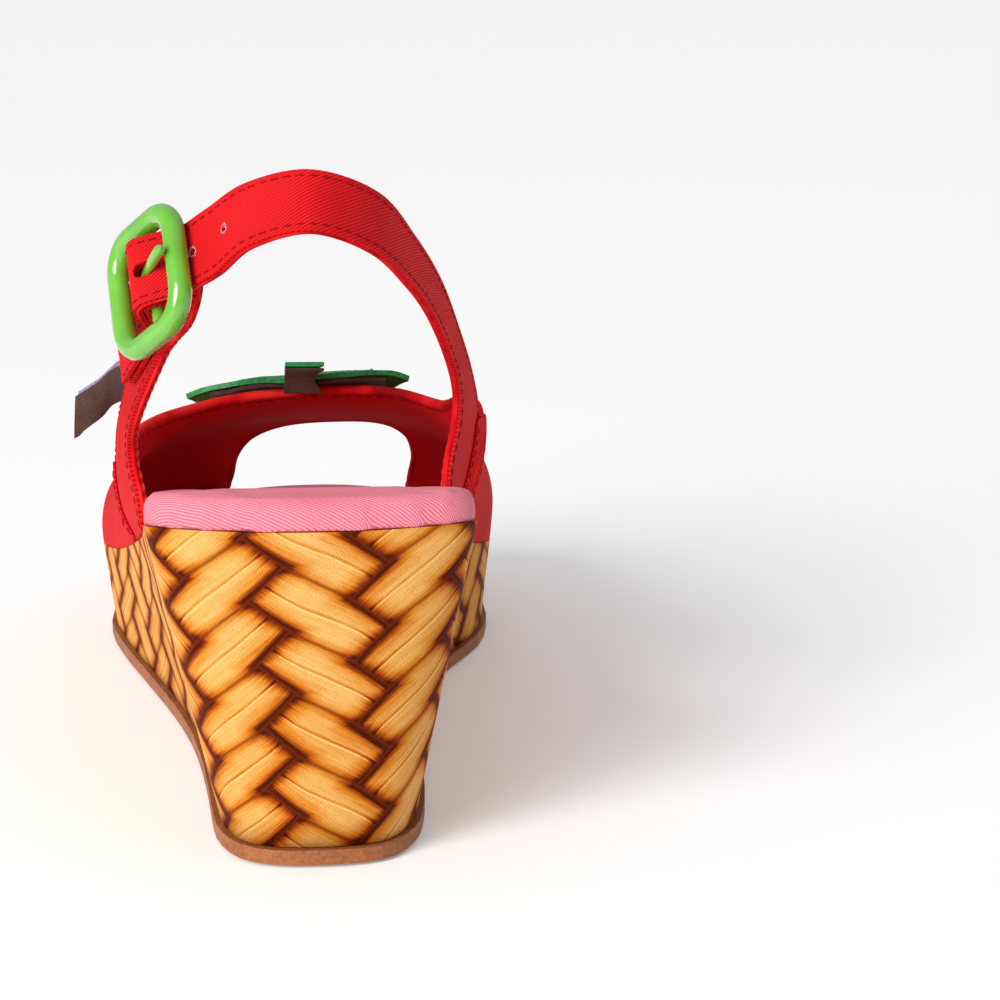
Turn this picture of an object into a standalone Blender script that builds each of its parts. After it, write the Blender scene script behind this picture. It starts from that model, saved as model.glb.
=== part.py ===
"""Wedge sandal for the left foot, modelled in millimetres and built in metres.

Frame: the origin is the centre of the heel's tread on the ground, +Y runs to
the toe, +Z is up and +X is the medial side (the inner side of the left foot).
The right sandal of the pair is its mirror image.
"""
import math

import bmesh
import bpy
import numpy as np

MM = 0.001                      # every size below is in millimetres

# ---------------------------------------------------------------- dimensions
GAP = 0.3                       # clearance kept between touching pieces

# Outlines seen from above, heel to toe: each row is a point of the outsole's
# edge and the matching point of the feather line, the wedge's top edge.
REAR_POINT = ((0.0, -25.8), (0.0, -35.0))
MEDIAL_ROWS = (
    ((9.5, -24.7), (15.0, -33.6)), ((15.6, -21.2), (25.5, -30.6)),
    ((19.6, -13.6), (30.3, -27.0)), ((21.4, -5.0), (31.7, -20.5)),
    ((22.3, 10.0), (32.0, -2.0)), ((22.3, 30.0), (30.9, 20.0)),
    ((22.4, 50.0), (29.4, 42.0)), ((23.4, 70.0), (29.6, 62.0)),
    ((26.6, 90.0), (32.5, 83.0)), ((33.0, 107.0), (37.3, 103.0)),
    ((39.2, 122.0), (41.5, 121.0)), ((42.2, 140.0), (43.0, 140.0)),
    ((40.8, 158.0), (41.4, 158.0)), ((36.0, 174.0), (36.5, 174.0)),
    ((27.0, 188.0), (27.3, 188.0)), ((14.5, 196.6), (14.7, 196.6)),
)
TOE_POINT = ((0.5, 199.5), (0.5, 199.5))
LATERAL_ROWS = (
    ((-8.5, -25.0), (-15.0, -33.6)), ((-14.9, -21.2), (-25.5, -30.6)),
    ((-18.9, -13.6), (-30.3, -27.0)), ((-20.7, -5.0), (-31.9, -20.5)),
    ((-22.2, 10.0), (-33.2, -2.0)), ((-24.5, 30.0), (-34.8, 20.0)),
    ((-27.8, 50.0), (-36.6, 42.0)), ((-32.7, 70.0), (-38.7, 62.0)),
    ((-38.6, 90.0), (-42.4, 83.0)), ((-43.8, 107.0), (-46.5, 103.0)),
    ((-48.1, 122.0), (-50.4, 121.0)), ((-51.8, 140.0), (-53.2, 140.0)),
    ((-50.6, 158.0), (-51.3, 158.0)), ((-44.0, 174.0), (-44.6, 174.0)),
    ((-31.0, 188.0), (-31.3, 188.0)), ((-15.5, 196.8), (-15.8, 196.8)),
)
HEEL_HALF_WIDTH = 31.5
EDGE_STEPS = 2                  # mesh points per stretch of the outlines

# Height of the feather line above the ground, as (y, z).
FEATHER_HEIGHT = ((-36, 69.9), (-28, 68.0), (0, 61.0), (30, 53.3), (60, 44.9),
                  (85, 36.9), (105, 31.2), (120, 27.8), (135, 25.0), (150, 23.0),
                  (170, 21.2), (200, 20.0))
SEAT_CUP = 1.6                  # rise of the heel seat's sides above its middle
SEAT_CUP_SPAN = (-10.0, 60.0)   # the cupping fades out between these two places

OUTSOLE_THICKNESS = 3.0
TREAD_DEPTH = 0.7
OUTSOLE_LIP = 1.2               # how far the outsole stands out of the wedge
TOE_SPRING = 3.5                # lift of the outsole at the toe
TOE_SPRING_START = 145.0
TREAD_BLOCK = (5.0, 3.4)        # across, along
TREAD_PITCH = (8.0, 7.0)
TREAD_ROWS = range(-3, 27)
TREAD_COLUMNS = range(-7, 8)
TREAD_WAIST = (36.0, 84.0)      # the smooth stretch without blocks under the arch
TREAD_LAST = 188.0
TREAD_MARGIN = 3.0
BLOCK_ROOT = 1.0                # how deep a block is sunk into the outsole

WRAP_THICKNESS = 0.8
BOARD_THICKNESS = 2.0
BOARD_INSET = 4.2
FOAM_THICKNESS_HEEL = 3.6
FOAM_THICKNESS_TOE = 1.8
FOAM_TAPER = (20.0, 150.0)      # the foam thins out between these two places
COVER_THICKNESS = 1.0
FOOTBED_RADIUS = 3.0            # rounding of the footbed's top edge
UPPER_ROOM = 2.8                # width of the ledge that the upper stands on
UPPER_START = (22.0, 38.0)      # the ledge grows between these two places

SHANK_WIDTH = 11.0
SHANK_THICKNESS = 1.6
SHANK_SPAN = (8.0, 122.0)
SHANK_START_X = -1.0
SHANK_SLANT = -0.03             # sideways drift of the shank for each mm forward
SHANK_STEPS = 12
RIVET_RADIUS = 1.8
RIVET_DEPTH = 3.5               # how far a rivet reaches below the shank
HEAD_DEPTH = 0.4                # rivet and nail heads sit this far below the board's top
CUTTER_REACH = 2.0              # how far cutters stand out of what they cut
NAIL_RADIUS = 1.1
NAIL_LENGTH = 24.0
NAIL_SIDES = 8
NAIL_PLACES = ((-14.0, -14.0), (14.0, -14.0), (0.0, -22.0))

SHELL = 1.1                     # outer cloth of the upper
LINING = 0.8                    # lining of the upper
UPPER_TOTAL = LINING + GAP + SHELL

# Buckle: its own axes are along (towards the toe), up and out.
BUCKLE_CENTRE = np.array((-31.6, 11.9, 109.5))
BUCKLE_ALONG = np.array((-0.549, 0.652, -0.523))
BUCKLE_UP = np.array((-0.15, 0.60, 0.78))
BUCKLE_HALF_WIDTH = 11.0        # bar centre lines
BUCKLE_HALF_HEIGHT = 11.9
BUCKLE_CORNER = 6.4
BUCKLE_BAR = 2.35               # bar radius
CENTRE_BAR = 1.3                # radius of the bar that the chape wraps
CENTRE_BAR_OUT = -1.4
PRONG_RADIUS = 1.15
PRONG_LOOP = 0.6                # half thickness where it is hammered round the bar
PRONG_TIP = 1.6                 # reach of the prong past the rear bar's middle
CHAPE_THICKNESS = 1.2
CHAPE_HALF_WIDTH = 6.0
CHAPE_SLOT = 2.9                # half width of the slot for the prong
STRAP_UP = 1.2                  # the strap and the prong sit off the buckle's middle

# Inner face of the vamp: an arch at each distance y, from the lateral foot of
# the wall over a ridge to the medial foot of the wall.
RIDGE_HEIGHT = ((60, 96.0), (80, 84.0), (95, 73.6), (108, 67.2), (130, 58.8), (150, 53.1),
                (160, 49.9), (170, 44.6), (180, 37.4), (190, 28.5))
RIDGE_X = ((60, 9.0), (110, 7.0), (165, 3.5), (200, 1.0))
LATERAL_POWERS = (2.4, 2.5)     # how square the arch is: across, up
MEDIAL_POWERS = (2.7, 3.0)
LATERAL_FLARE = ((60, 7.5), (75, 5.6), (90, 3.2), (105, 1.8), (130, 1.3), (200, 1.0))
MEDIAL_FLARE = ((60, 10.0), (66, 9.3), (75, 7.5), (90, 4.0), (105, 2.0), (130, 1.3), (200, 1.0))

# Rear edge and front edge of the vamp as (share of the way over the foot, y).
THROAT = ((0.0, 74.0), (0.08, 76.0), (0.14, 79.5), (0.22, 90.0), (0.3, 99.5),
          (0.4, 106.5), (0.5, 108.0), (0.6, 107.0), (0.7, 101.0), (0.76, 91.0),
          (0.8, 79.0), (0.84, 69.5), (0.9, 69.0), (1.0, 67.8))
TOE_EDGE = ((0.0, 190.5), (0.1, 190.5), (0.2, 189.0), (0.28, 184.5), (0.34, 177.0),
            (0.4, 168.0), (0.45, 163.0), (0.52, 160.5), (0.6, 162.0), (0.66, 167.5),
            (0.72, 176.0), (0.78, 184.0), (0.86, 188.5), (1.0, 190.0))
VAMP_ROWS = 30
VAMP_COLUMNS = 12

# Inner face of the lateral quarter: each row runs from its rear edge to its
# front edge. The low rows are places, the high ones are in the buckle's axes.
QUARTER_LOW = (
    ((-34.1, 36.0, 52.6), (-35.9, 54.0, 47.3), (-37.6, 72.4, 41.6)),
    ((-35.4, 38.0, 60.5), (-38.6, 56.0, 54.5), (-41.3, 73.6, 49.5)),
    ((-36.6, 37.5, 68.5), (-40.2, 55.0, 63.5), (-42.2, 75.2, 59.5)),
    ((-35.5, 32.5, 77.0), (-39.0, 47.5, 74.5), (-39.9, 62.0, 73.0)),
)
QUARTER_HIGH = (
    ((16.0, -8.2, -12.2), (26.0, -4.0, -15.8), (37.0, 1.5, -19.0)),
    ((9.0, -7.6, -10.8), (18.0, -4.2, -13.4), (28.0, -1.0, -16.6)),
    ((-2.5, -8.4, -8.0), (7.5, -5.2, -10.4), (18.5, -1.0, -13.8)),
    ((-8.5, -3.4, -7.1), (2.0, -0.8, -8.8), (14.0, 2.4, -12.3)),
    ((-6.5, 3.2, -7.1), (2.0, 4.6, -8.8), (10.0, 5.2, -11.0)),
)

# The ankle strap's inner face: each station has its lower (rear) edge and its
# upper (front) edge, from the medial ledge round the heel to the buckle.
STRAP_MEDIAL = (
    ((28.1, 40.0, 51.4), (28.8, 65.8, 44.0)),
    ((28.4, 42.0, 63.5), (33.8, 67.4, 58.4)),
    ((30.4, 44.5, 73.0), (35.6, 66.0, 71.0)),
    ((30.6, 42.5, 80.5), (34.0, 58.0, 81.5)),
    ((28.6, 34.5, 89.5), (30.9, 46.5, 92.6)),
    ((24.6, 21.5, 100.3), (26.4, 31.5, 106.0)),
    ((19.9, 8.5, 108.8), (20.6, 16.6, 117.4)),
    ((12.6, -4.5, 117.5), (13.2, 2.2, 128.0)),
    ((1.0, -12.2, 122.6), (1.0, -5.0, 133.2)),
    ((-10.6, -8.6, 119.4), (-10.9, -0.8, 130.4)),
)
STRAP_STEPS_ROUND = 5
STRAP_STEPS_BUCKLE = 2
STRAP_COLUMNS = (-1.0, -0.6, -0.215, 0.215, 0.6, 1.0)
PRONG_HOLE = (-3, 0)            # strap rows of the prong's hole, from the centre bar
PUNCHED_HOLES = (-10, -7, 2)    # strap rows of the round holes, from the centre bar
HOLE_RADIUS = 0.9
STRAP_SHELL = 0.9
STRAP_LINING = 0.7
STRAP_TOTAL = STRAP_LINING + GAP + STRAP_SHELL
FAR_BAR_ROOM = 1.1              # slack under the front bar, which lets the buckle swing

# Rear edge of the calyx's upper face, from its left tip to its right tip.
LEAF_EDGE = ((-29.8, 112.0, 67.0), (-24.2, 108.5, 69.6), (-13.1, 105.0, 71.9),
             (-7.0, 103.2, 72.2), (0.9, 103.0, 73.0), (8.9, 104.5, 73.3),
             (17.6, 108.0, 72.9), (22.0, 110.5, 71.0))
LEAF_EDGE_STEPS = 6
LEAF_NOTCH = 9.0                # depth of the leaf between two sepals
LEAF_TIP = 0.9                  # blunt end of the side tips
LEAF_SEPAL = 15.0               # how much further each of the three sepals reaches
LEAF_REST = 0.4                 # clearance above the vamp
LEAF_CURL = 9.0                 # the raised rear edge meets the vamp over this length
THROAT_Y = 107.0                # the vamp's rear edge under the calyx
LEAF_FACE = 1.2
LEAF_BACKING = 0.9
LEAF_COLUMNS = 24
LEAF_ROWS = 5
# Rear face of the stem from its root behind the leaf up to its free end, which
# curls to the rear: left and right edges.
STEM_ROWS = (((-7.2, 100.2, 69.0), (1.6, 100.2, 69.0)), ((-6.9, 100.2, 71.6), (0.2, 100.2, 71.6)),
             ((-6.8, 99.7, 73.6), (0.9, 99.7, 73.6)), ((-6.6, 98.0, 74.8), (2.5, 98.0, 74.7)))
# Side tab, from the sewn end to the free end: top and bottom edges.
TAB_ROWS = (((-37.6, 48.8, 86.4), (-40.4, 61.2, 77.3)), ((-42.0, 53.5, 84.8), (-44.4, 62.5, 75.0)),
            ((-45.9, 59.0, 80.6), (-47.3, 63.5, 71.4)), ((-51.0, 65.0, 76.2), (-52.0, 66.0, 66.6)))
TAB_FACE = 1.0
TAB_BACKING = 1.0


# ------------------------------------------------------------- small helpers
def unit(v):
    v = np.asarray(v, float)
    return v / np.linalg.norm(v)


BUCKLE_ALONG = unit(BUCKLE_ALONG)
BUCKLE_UP = unit(BUCKLE_UP - BUCKLE_ALONG * (BUCKLE_UP @ BUCKLE_ALONG))
BUCKLE_OUT = np.cross(BUCKLE_UP, BUCKLE_ALONG)


def buckle_point(along, up, out):
    return (BUCKLE_CENTRE + along * BUCKLE_ALONG + up * BUCKLE_UP + out * BUCKLE_OUT)


def smooth_value(table, x):
    """A smooth curve through (x, value) pairs, held level past the ends."""
    xs = np.array([p[0] for p in table], float)
    vs = np.array([p[1] for p in table], float)
    x = np.clip(x, xs[0], xs[-1])
    slopes = np.gradient(vs, xs)
    i = np.clip(np.searchsorted(xs, x) - 1, 0, len(xs) - 2)
    step = xs[i + 1] - xs[i]
    t = (x - xs[i]) / step
    return ((1 + 2 * t) * (1 - t) ** 2 * vs[i] + t * (1 - t) ** 2 * step * slopes[i]
            + t * t * (3 - 2 * t) * vs[i + 1] + t * t * (t - 1) * step * slopes[i + 1])


def spline(points, counts, closed=False):
    """Catmull-Rom curve through points: counts is the steps per stretch."""
    p = np.asarray(points, float)
    stretches = len(p) if closed else len(p) - 1
    if isinstance(counts, int):
        counts = [counts] * stretches
    out = []
    for i in range(stretches):
        if closed:
            a, b, c, d = (p[(i + k) % len(p)] for k in (-1, 0, 1, 2))
        else:
            b, c = p[i], p[i + 1]
            a = p[i - 1] if i > 0 else 2 * b - c
            d = p[i + 2] if i + 2 < len(p) else 2 * c - b
        for k in range(counts[i]):
            t = k / counts[i]
            out.append(0.5 * (2 * b + (c - a) * t + (2 * a - 5 * b + 4 * c - d) * t * t
                              + (3 * b - a - 3 * c + d) * t ** 3))
    if not closed:
        out.append(p[-1])
    return np.array(out)


def blend(x, start, end):
    """0 before start, 1 after end, smooth in between."""
    t = np.clip((x - start) / (end - start), 0.0, 1.0)
    return t * t * (3 - 2 * t)


def feather_height(y):
    return smooth_value(FEATHER_HEIGHT, y)


def seat_height(x, y):
    """The wedge's top: the feather line's slope with a slightly cupped heel seat."""
    cup = SEAT_CUP * (1.0 - blend(y, *SEAT_CUP_SPAN))
    return feather_height(y) + cup * (x / HEEL_HALF_WIDTH) ** 2


# ------------------------------------------------------- objects and meshes
def clear_scene():
    for obj in list(bpy.data.objects):
        bpy.data.objects.remove(obj, do_unlink=True)


def material(name, colour, roughness, metallic=0.0):
    mat = bpy.data.materials.new(name)
    mat.use_nodes = True
    shader = mat.node_tree.nodes["Principled BSDF"]
    shader.inputs["Base Color"].default_value = (*colour, 1.0)
    shader.inputs["Roughness"].default_value = roughness
    shader.inputs["Metallic"].default_value = metallic
    return mat


def add_object(name, points, faces, mat, origin=(0.0, 0.0, 0.0), smooth_angle=40.0):
    """A mesh object from millimetre points, with its origin where it turns."""
    origin = np.asarray(origin, float)
    mesh = bpy.data.meshes.new(name)
    mesh.from_pydata([tuple((np.asarray(p) - origin) * MM) for p in points], [], faces)
    bm = bmesh.new()
    bm.from_mesh(mesh)
    bmesh.ops.recalc_face_normals(bm, faces=bm.faces)
    bm.to_mesh(mesh)
    bm.free()
    mesh.shade_smooth()
    mesh.set_sharp_from_angle(angle=math.radians(smooth_angle))
    mesh.materials.append(mat)
    obj = bpy.data.objects.new(name, mesh)
    obj.location = origin * MM
    bpy.context.collection.objects.link(obj)
    return obj


def loft(rings, cap_start=True, cap_end=True):
    """Points and faces of a tube through rings of equal count."""
    count = len(rings[0])
    points = [p for ring in rings for p in ring]
    faces = []
    for r in range(len(rings) - 1):
        for i in range(count):
            j = (i + 1) % count
            faces.append((r * count + i, r * count + j,
                          (r + 1) * count + j, (r + 1) * count + i))
    if cap_start:
        faces.append(tuple(reversed(range(count))))
    if cap_end:
        faces.append(tuple((len(rings) - 1) * count + i for i in range(count)))
    return points, faces


def grid_normals(grid):
    du = np.gradient(grid, axis=0)
    dv = np.gradient(grid, axis=1)
    n = np.cross(du, dv)
    return n / np.linalg.norm(n, axis=2, keepdims=True)


def sheet(grid, low, high, hole=None, normals=None):
    """A closed sheet between two offsets of a grid, with hole cells left out."""
    rows, cols = grid.shape[:2]
    if normals is None:
        normals = grid_normals(grid)
    faces = []
    cells = {(i, j) for i in range(rows - 1) for j in range(cols - 1)
             if hole is None or not hole(i, j)}
    lower = grid + normals * low
    upper = grid + normals * high
    points = list(lower.reshape(-1, 3)) + list(upper.reshape(-1, 3))
    shift = rows * cols

    def at(i, j):
        return i * cols + j

    for i, j in sorted(cells):
        a, b, c, d = at(i, j), at(i + 1, j), at(i + 1, j + 1), at(i, j + 1)
        for p, q, r in ((a, b, c), (a, c, d)):      # the same diagonal on both faces
            faces.append((r, q, p))
            faces.append((p + shift, q + shift, r + shift))
        for (ni, nj), (p, q) in (((i, j - 1), (a, b)), ((i + 1, j), (b, c)),
                                 ((i, j + 1), (c, d)), ((i - 1, j), (d, a))):
            if (ni, nj) not in cells:
                faces.append((p, q, q + shift, p + shift))
    used = sorted({v for f in faces for v in f})
    index = {v: k for k, v in enumerate(used)}
    return [points[v] for v in used], [tuple(index[v] for v in f) for f in faces]


def cut(target, cutter_name, points, faces):
    """Subtract a closed shape from an object with an exact Boolean."""
    cutter = add_object(cutter_name, points, faces, target.data.materials[0])
    cutter.hide_render = True
    cutter.display_type = "WIRE"
    mod = target.modifiers.new(cutter_name, "BOOLEAN")
    mod.operation = "DIFFERENCE"
    mod.object = cutter
    mod.solver = "EXACT"


def join(target, other_name, points, faces):
    """Unite a closed shape with an object with an exact Boolean."""
    other = add_object(other_name, points, faces, target.data.materials[0])
    other.hide_render = True
    other.display_type = "WIRE"
    mod = target.modifiers.new(other_name, "BOOLEAN")
    mod.operation = "UNION"
    mod.object = other
    mod.solver = "EXACT"


def rod(start, end, radius, sides=12):
    """A straight round bar between two points."""
    start, end = np.asarray(start, float), np.asarray(end, float)
    axis = unit(end - start)
    side = unit(np.cross(axis, (0.0, 0.0, 1.0) if abs(axis[2]) < 0.9 else (1.0, 0.0, 0.0)))
    other = np.cross(axis, side)
    ring = [radius * (math.cos(a) * side + math.sin(a) * other)
            for a in np.arange(sides) * 2 * math.pi / sides]
    return loft([[start + r for r in ring], [end + r for r in ring]])


# ------------------------------------------------------------ sole outlines
def outline(which):
    """Closed outline from the heel, up the medial side and back: 0 tread, 1 feather."""
    rows = ([REAR_POINT] + list(MEDIAL_ROWS) + [TOE_POINT] + list(reversed(LATERAL_ROWS)))
    return spline([row[which] for row in rows], EDGE_STEPS, closed=True)


def inset(points, distance):
    """Move a closed outline inwards by a distance, or by one value per point."""
    ahead = np.roll(points, -1, axis=0)
    behind = np.roll(points, 1, axis=0)
    along = ahead - behind
    along /= np.linalg.norm(along, axis=1, keepdims=True)
    inward = np.stack((-along[:, 1], along[:, 0]), axis=1)
    return points + inward * np.reshape(distance, (-1, 1) if np.ndim(distance) else (1, 1))


TREAD_OUTLINE = outline(0)
FEATHER_OUTLINE = outline(1)
HALF = len(FEATHER_OUTLINE) // 2


def outline_x(side, y):
    """The feather line's x at a distance y: side is -1 lateral, +1 medial."""
    half = FEATHER_OUTLINE[:HALF + 1] if side > 0 else FEATHER_OUTLINE[HALF:]
    half = half[np.argsort(half[:, 1])]
    return float(np.interp(y, half[:, 1], half[:, 0]))


def raise_outline(points, height):
    return np.array([(x, y, height(x, y)) for x, y in points])


def outsole_bottom(x, y):
    lift = max(0.0, (y - TOE_SPRING_START) / (TOE_POINT[0][1] - TOE_SPRING_START))
    return TREAD_DEPTH + TOE_SPRING * lift ** 2


def outsole_top(x, y):
    return outsole_bottom(x, y) + OUTSOLE_THICKNESS


def ladder(ring, height, rungs=6):
    """Fill a closed outline with rungs from side to side, at height(x, y)."""
    count = len(ring)
    half = count // 2
    rows = []
    for i in range(1, half):
        left, right = ring[i], ring[count - i]
        row = [left]
        for k in range(1, rungs):
            x, y = (left + (right - left) * k / rungs)[:2]
            row.append(np.array((x, y, height(x, y))))
        rows.append(row + [right])
    return rows


def plate(rings, height_first, height_last, rungs=6):
    """A closed solid: walls through rings, ladders of rungs across both ends."""
    count = len(rings[0])
    half = count // 2
    points, faces = loft(rings, cap_start=False, cap_end=False)
    for ring_index, height, flip in ((0, height_first, True),
                                     (len(rings) - 1, height_last, False)):
        ring = np.array(rings[ring_index])
        base = ring_index * count
        rows = ladder(ring, height, rungs)
        ids = []
        for i, row in enumerate(rows, start=1):
            inner = []
            for p in row[1:-1]:
                inner.append(len(points))
                points.append(p)
            ids.append([base + i] + inner + [base + count - i])
        new = []
        for a, b in zip(ids[:-1], ids[1:]):
            for k in range(rungs):
                new.append((a[k], b[k], b[k + 1], a[k + 1]))
        for k in range(rungs):
            new.append((base, ids[0][k], ids[0][k + 1]))
            new.append((ids[-1][k], base + half, ids[-1][k + 1]))
        faces += [tuple(reversed(f)) for f in new] if flip else new
    return points, faces


# ------------------------------------------------------------ sole pieces
def build_outsole(mat):
    """Moulded sheet with a lip round the wedge and rows of tread blocks."""
    low = raise_outline(TREAD_OUTLINE, outsole_bottom)
    high = raise_outline(TREAD_OUTLINE, outsole_top)
    points, faces = plate([low, high], outsole_bottom, outsole_top, rungs=4)
    outsole = add_object("outsole", points, faces, mat)
    blocks, block_faces = [], []
    half_x, half_y = TREAD_BLOCK[0] / 2, TREAD_BLOCK[1] / 2
    lateral = TREAD_OUTLINE[HALF:][np.argsort(TREAD_OUTLINE[HALF:, 1])]
    medial = TREAD_OUTLINE[:HALF + 1][np.argsort(TREAD_OUTLINE[:HALF + 1, 1])]
    for row in TREAD_ROWS:
        y = row * TREAD_PITCH[1]
        if TREAD_WAIST[0] < y < TREAD_WAIST[1] or y > TREAD_LAST:
            continue
        margin = TREAD_MARGIN + half_x
        left = np.interp(y - half_y, lateral[:, 1], lateral[:, 0]) + margin
        right = np.interp(y - half_y, medial[:, 1], medial[:, 0]) - margin
        for col in TREAD_COLUMNS:
            x = col * TREAD_PITCH[0] + (row % 2) * TREAD_PITCH[0] / 2
            if not left < x < right:
                continue
            lift = outsole_bottom(x, y) - TREAD_DEPTH
            base = len(blocks)
            for z in (lift, lift + TREAD_DEPTH + BLOCK_ROOT):
                for sx, sy in ((-1, -1), (1, -1), (1, 1), (-1, 1)):
                    blocks.append((x + sx * half_x, y + sy * half_y, z))
            block_faces += [tuple(base + k for k in f) for f in (
                (3, 2, 1, 0), (4, 5, 6, 7), (0, 1, 5, 4), (1, 2, 6, 5), (2, 3, 7, 6),
                (3, 0, 4, 7))]
    join(outsole, "tread_blocks_guide", blocks, block_faces)
    return outsole


def wedge_rings(offset, low_gap, steps=3):
    """Wall rings of the wedge from its bottom to the feather line."""
    bottom = raise_outline(inset(TREAD_OUTLINE, OUTSOLE_LIP + offset),
                           lambda x, y: outsole_top(x, y) + low_gap)
    top = raise_outline(inset(FEATHER_OUTLINE, offset), seat_height)
    return [bottom + (top - bottom) * k / steps for k in range(steps + 1)]


def shank_path():
    """Middle of the shank's top groove, on the wedge's top."""
    path = []
    for y in np.linspace(SHANK_SPAN[0], SHANK_SPAN[1], SHANK_STEPS):
        x = SHANK_START_X + SHANK_SLANT * y
        path.append((x, y, seat_height(x, y)))
    return path


def shank_shape(grow, below, above):
    """A flat bar under the board that follows the feather line's slope."""
    rings = []
    half = SHANK_WIDTH / 2 + grow
    path = shank_path()
    for k, (x, y, z) in enumerate(path):
        if k == 0:
            y -= grow
        if k == len(path) - 1:
            y += grow
        rings.append([(x - half, y, z - below), (x + half, y, z - below),
                      (x + half, y, z - above), (x - half, y, z - above)])
    return loft(rings)


def build_wedge(core_mat, wrap_mat, board_mat, shank_mat, rivet_mat):
    """The wedge's core and printed wrap, with the shank, board, rivets and nails."""
    core_rings = wedge_rings(WRAP_THICKNESS + GAP, GAP)
    points, faces = plate(core_rings, lambda x, y: outsole_top(x, y) + GAP, seat_height)
    core = add_object("wedge_core", points, faces, core_mat)

    outer = wedge_rings(0.0, GAP)
    inner = wedge_rings(WRAP_THICKNESS, GAP)
    rings = outer + list(reversed(inner)) + [outer[0]]
    points, faces = loft(rings[:-1], cap_start=False, cap_end=False)
    count = len(outer[0])
    last = (len(rings) - 2) * count
    faces += [(last + i, last + (i + 1) % count, (i + 1) % count, i) for i in range(count)]
    add_object("wedge_wrap", points, faces, wrap_mat)

    points, faces = shank_shape(0.0, SHANK_THICKNESS + GAP, GAP)
    shank = add_object("steel_shank", points, faces, shank_mat)
    points, faces = shank_shape(GAP, SHANK_THICKNESS + 2 * GAP, -CUTTER_REACH)
    cut(core, "shank_groove_cutter", points, faces)

    board = build_board(board_mat)
    path = shank_path()
    for name, (x, y, z) in (("shank_rivet_rear", path[1]), ("shank_rivet_front", path[-2])):
        bottom = z - SHANK_THICKNESS - RIVET_DEPTH
        top = z + GAP + BOARD_THICKNESS
        points, faces = rod((x, y, bottom), (x, y, top - HEAD_DEPTH), RIVET_RADIUS)
        add_object(name, points, faces, rivet_mat)
        for target in (core, shank, board):
            points, faces = rod((x, y, bottom - GAP), (x, y, top + CUTTER_REACH),
                                RIVET_RADIUS + GAP)
            cut(target, f"{name}_cutter_{target.name}", points, faces)
    for number, (x, y) in enumerate(NAIL_PLACES, start=1):
        top = board_top(x, y) - HEAD_DEPTH
        points, faces = rod((x, y, top - NAIL_LENGTH), (x, y, top), NAIL_RADIUS, NAIL_SIDES)
        add_object(f"heel_nail_{number}", points, faces, rivet_mat)
        for target in (core, board):
            points, faces = rod((x, y, top - NAIL_LENGTH - GAP), (x, y, top + CUTTER_REACH),
                                NAIL_RADIUS + GAP, NAIL_SIDES)
            cut(target, f"heel_nail_{number}_cutter_{target.name}", points, faces)


def ledge(points):
    """How far the footbed steps in from the feather line at each point."""
    return np.array([UPPER_ROOM * blend(y, *UPPER_START) for _, y in points])


def foam_thickness(y):
    return FOAM_THICKNESS_HEEL + ((FOAM_THICKNESS_TOE - FOAM_THICKNESS_HEEL)
                                  * blend(y, *FOAM_TAPER))


def board_top(x, y):
    return seat_height(x, y) + GAP + BOARD_THICKNESS


def foam_top(x, y):
    return board_top(x, y) + GAP + foam_thickness(y)


def build_board(board_mat):
    """Stiff insole board that lies on the wedge."""
    edge = inset(FEATHER_OUTLINE, BOARD_INSET + ledge(FEATHER_OUTLINE) - UPPER_ROOM / 2)
    low = raise_outline(edge, lambda x, y: seat_height(x, y) + GAP)
    high = raise_outline(edge, board_top)
    points, faces = plate([low, high], lambda x, y: seat_height(x, y) + GAP, board_top)
    return add_object("insole_board", points, faces, board_mat)


def build_footbed(foam_mat, cover_mat):
    """Foam pad on the board, and a cloth cover drawn over both down to the wedge."""
    base = inset(FEATHER_OUTLINE, ledge(FEATHER_OUTLINE))
    side = COVER_THICKNESS + GAP
    radius = FOOTBED_RADIUS - side
    edge = inset(base, side)
    rings = [raise_outline(edge, lambda x, y: board_top(x, y) + GAP)]
    for angle in (0.0, 45.0, 90.0):
        turn = math.radians(angle)
        ring = inset(edge, radius * (1 - math.cos(turn)))
        drop = radius * (1 - math.sin(turn))
        rings.append(raise_outline(ring, lambda x, y: foam_top(x, y) - drop))
    points, faces = plate(rings, lambda x, y: board_top(x, y) + GAP, foam_top)
    add_object("footbed_foam", points, faces, foam_mat)

    skins = []
    for out in (side, GAP):
        edge = inset(base, side - out)
        rings = [raise_outline(edge, lambda x, y: seat_height(x, y) + GAP)]
        round_radius = radius + out
        for angle in (0.0, 30.0, 60.0, 90.0):
            turn = math.radians(angle)
            ring = inset(edge, round_radius * (1 - math.cos(turn)))
            drop = round_radius * (1 - math.sin(turn)) - out
            rings.append(raise_outline(ring, lambda x, y: foam_top(x, y) - drop))
        skins.append(rings)
    outer = plate(skins[0], foam_top, lambda x, y: foam_top(x, y) + side)
    inner = plate(skins[1], foam_top, lambda x, y: foam_top(x, y) + GAP)
    count = len(skins[0][0])
    points = list(outer[0]) + list(inner[0])
    shift = len(outer[0])

    def skin_faces(faces):
        """Leave out the ladder that would close the skin's open bottom."""
        rows_in_wall = (len(skins[0]) - 1) * count
        per_end = (len(faces) - rows_in_wall) // 2
        return faces[:rows_in_wall] + faces[rows_in_wall + per_end:]

    faces = list(skin_faces(outer[1]))
    faces += [tuple(shift + v for v in reversed(f)) for f in skin_faces(inner[1])]
    faces += [(i, shift + i, shift + (i + 1) % count, (i + 1) % count) for i in range(count)]
    used = sorted({v for f in faces for v in f})
    index = {v: k for k, v in enumerate(used)}
    add_object("footbed_cover", [points[v] for v in used],
               [tuple(index[v] for v in f) for f in faces], cover_mat)


# ------------------------------------------------------------ the upper

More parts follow.
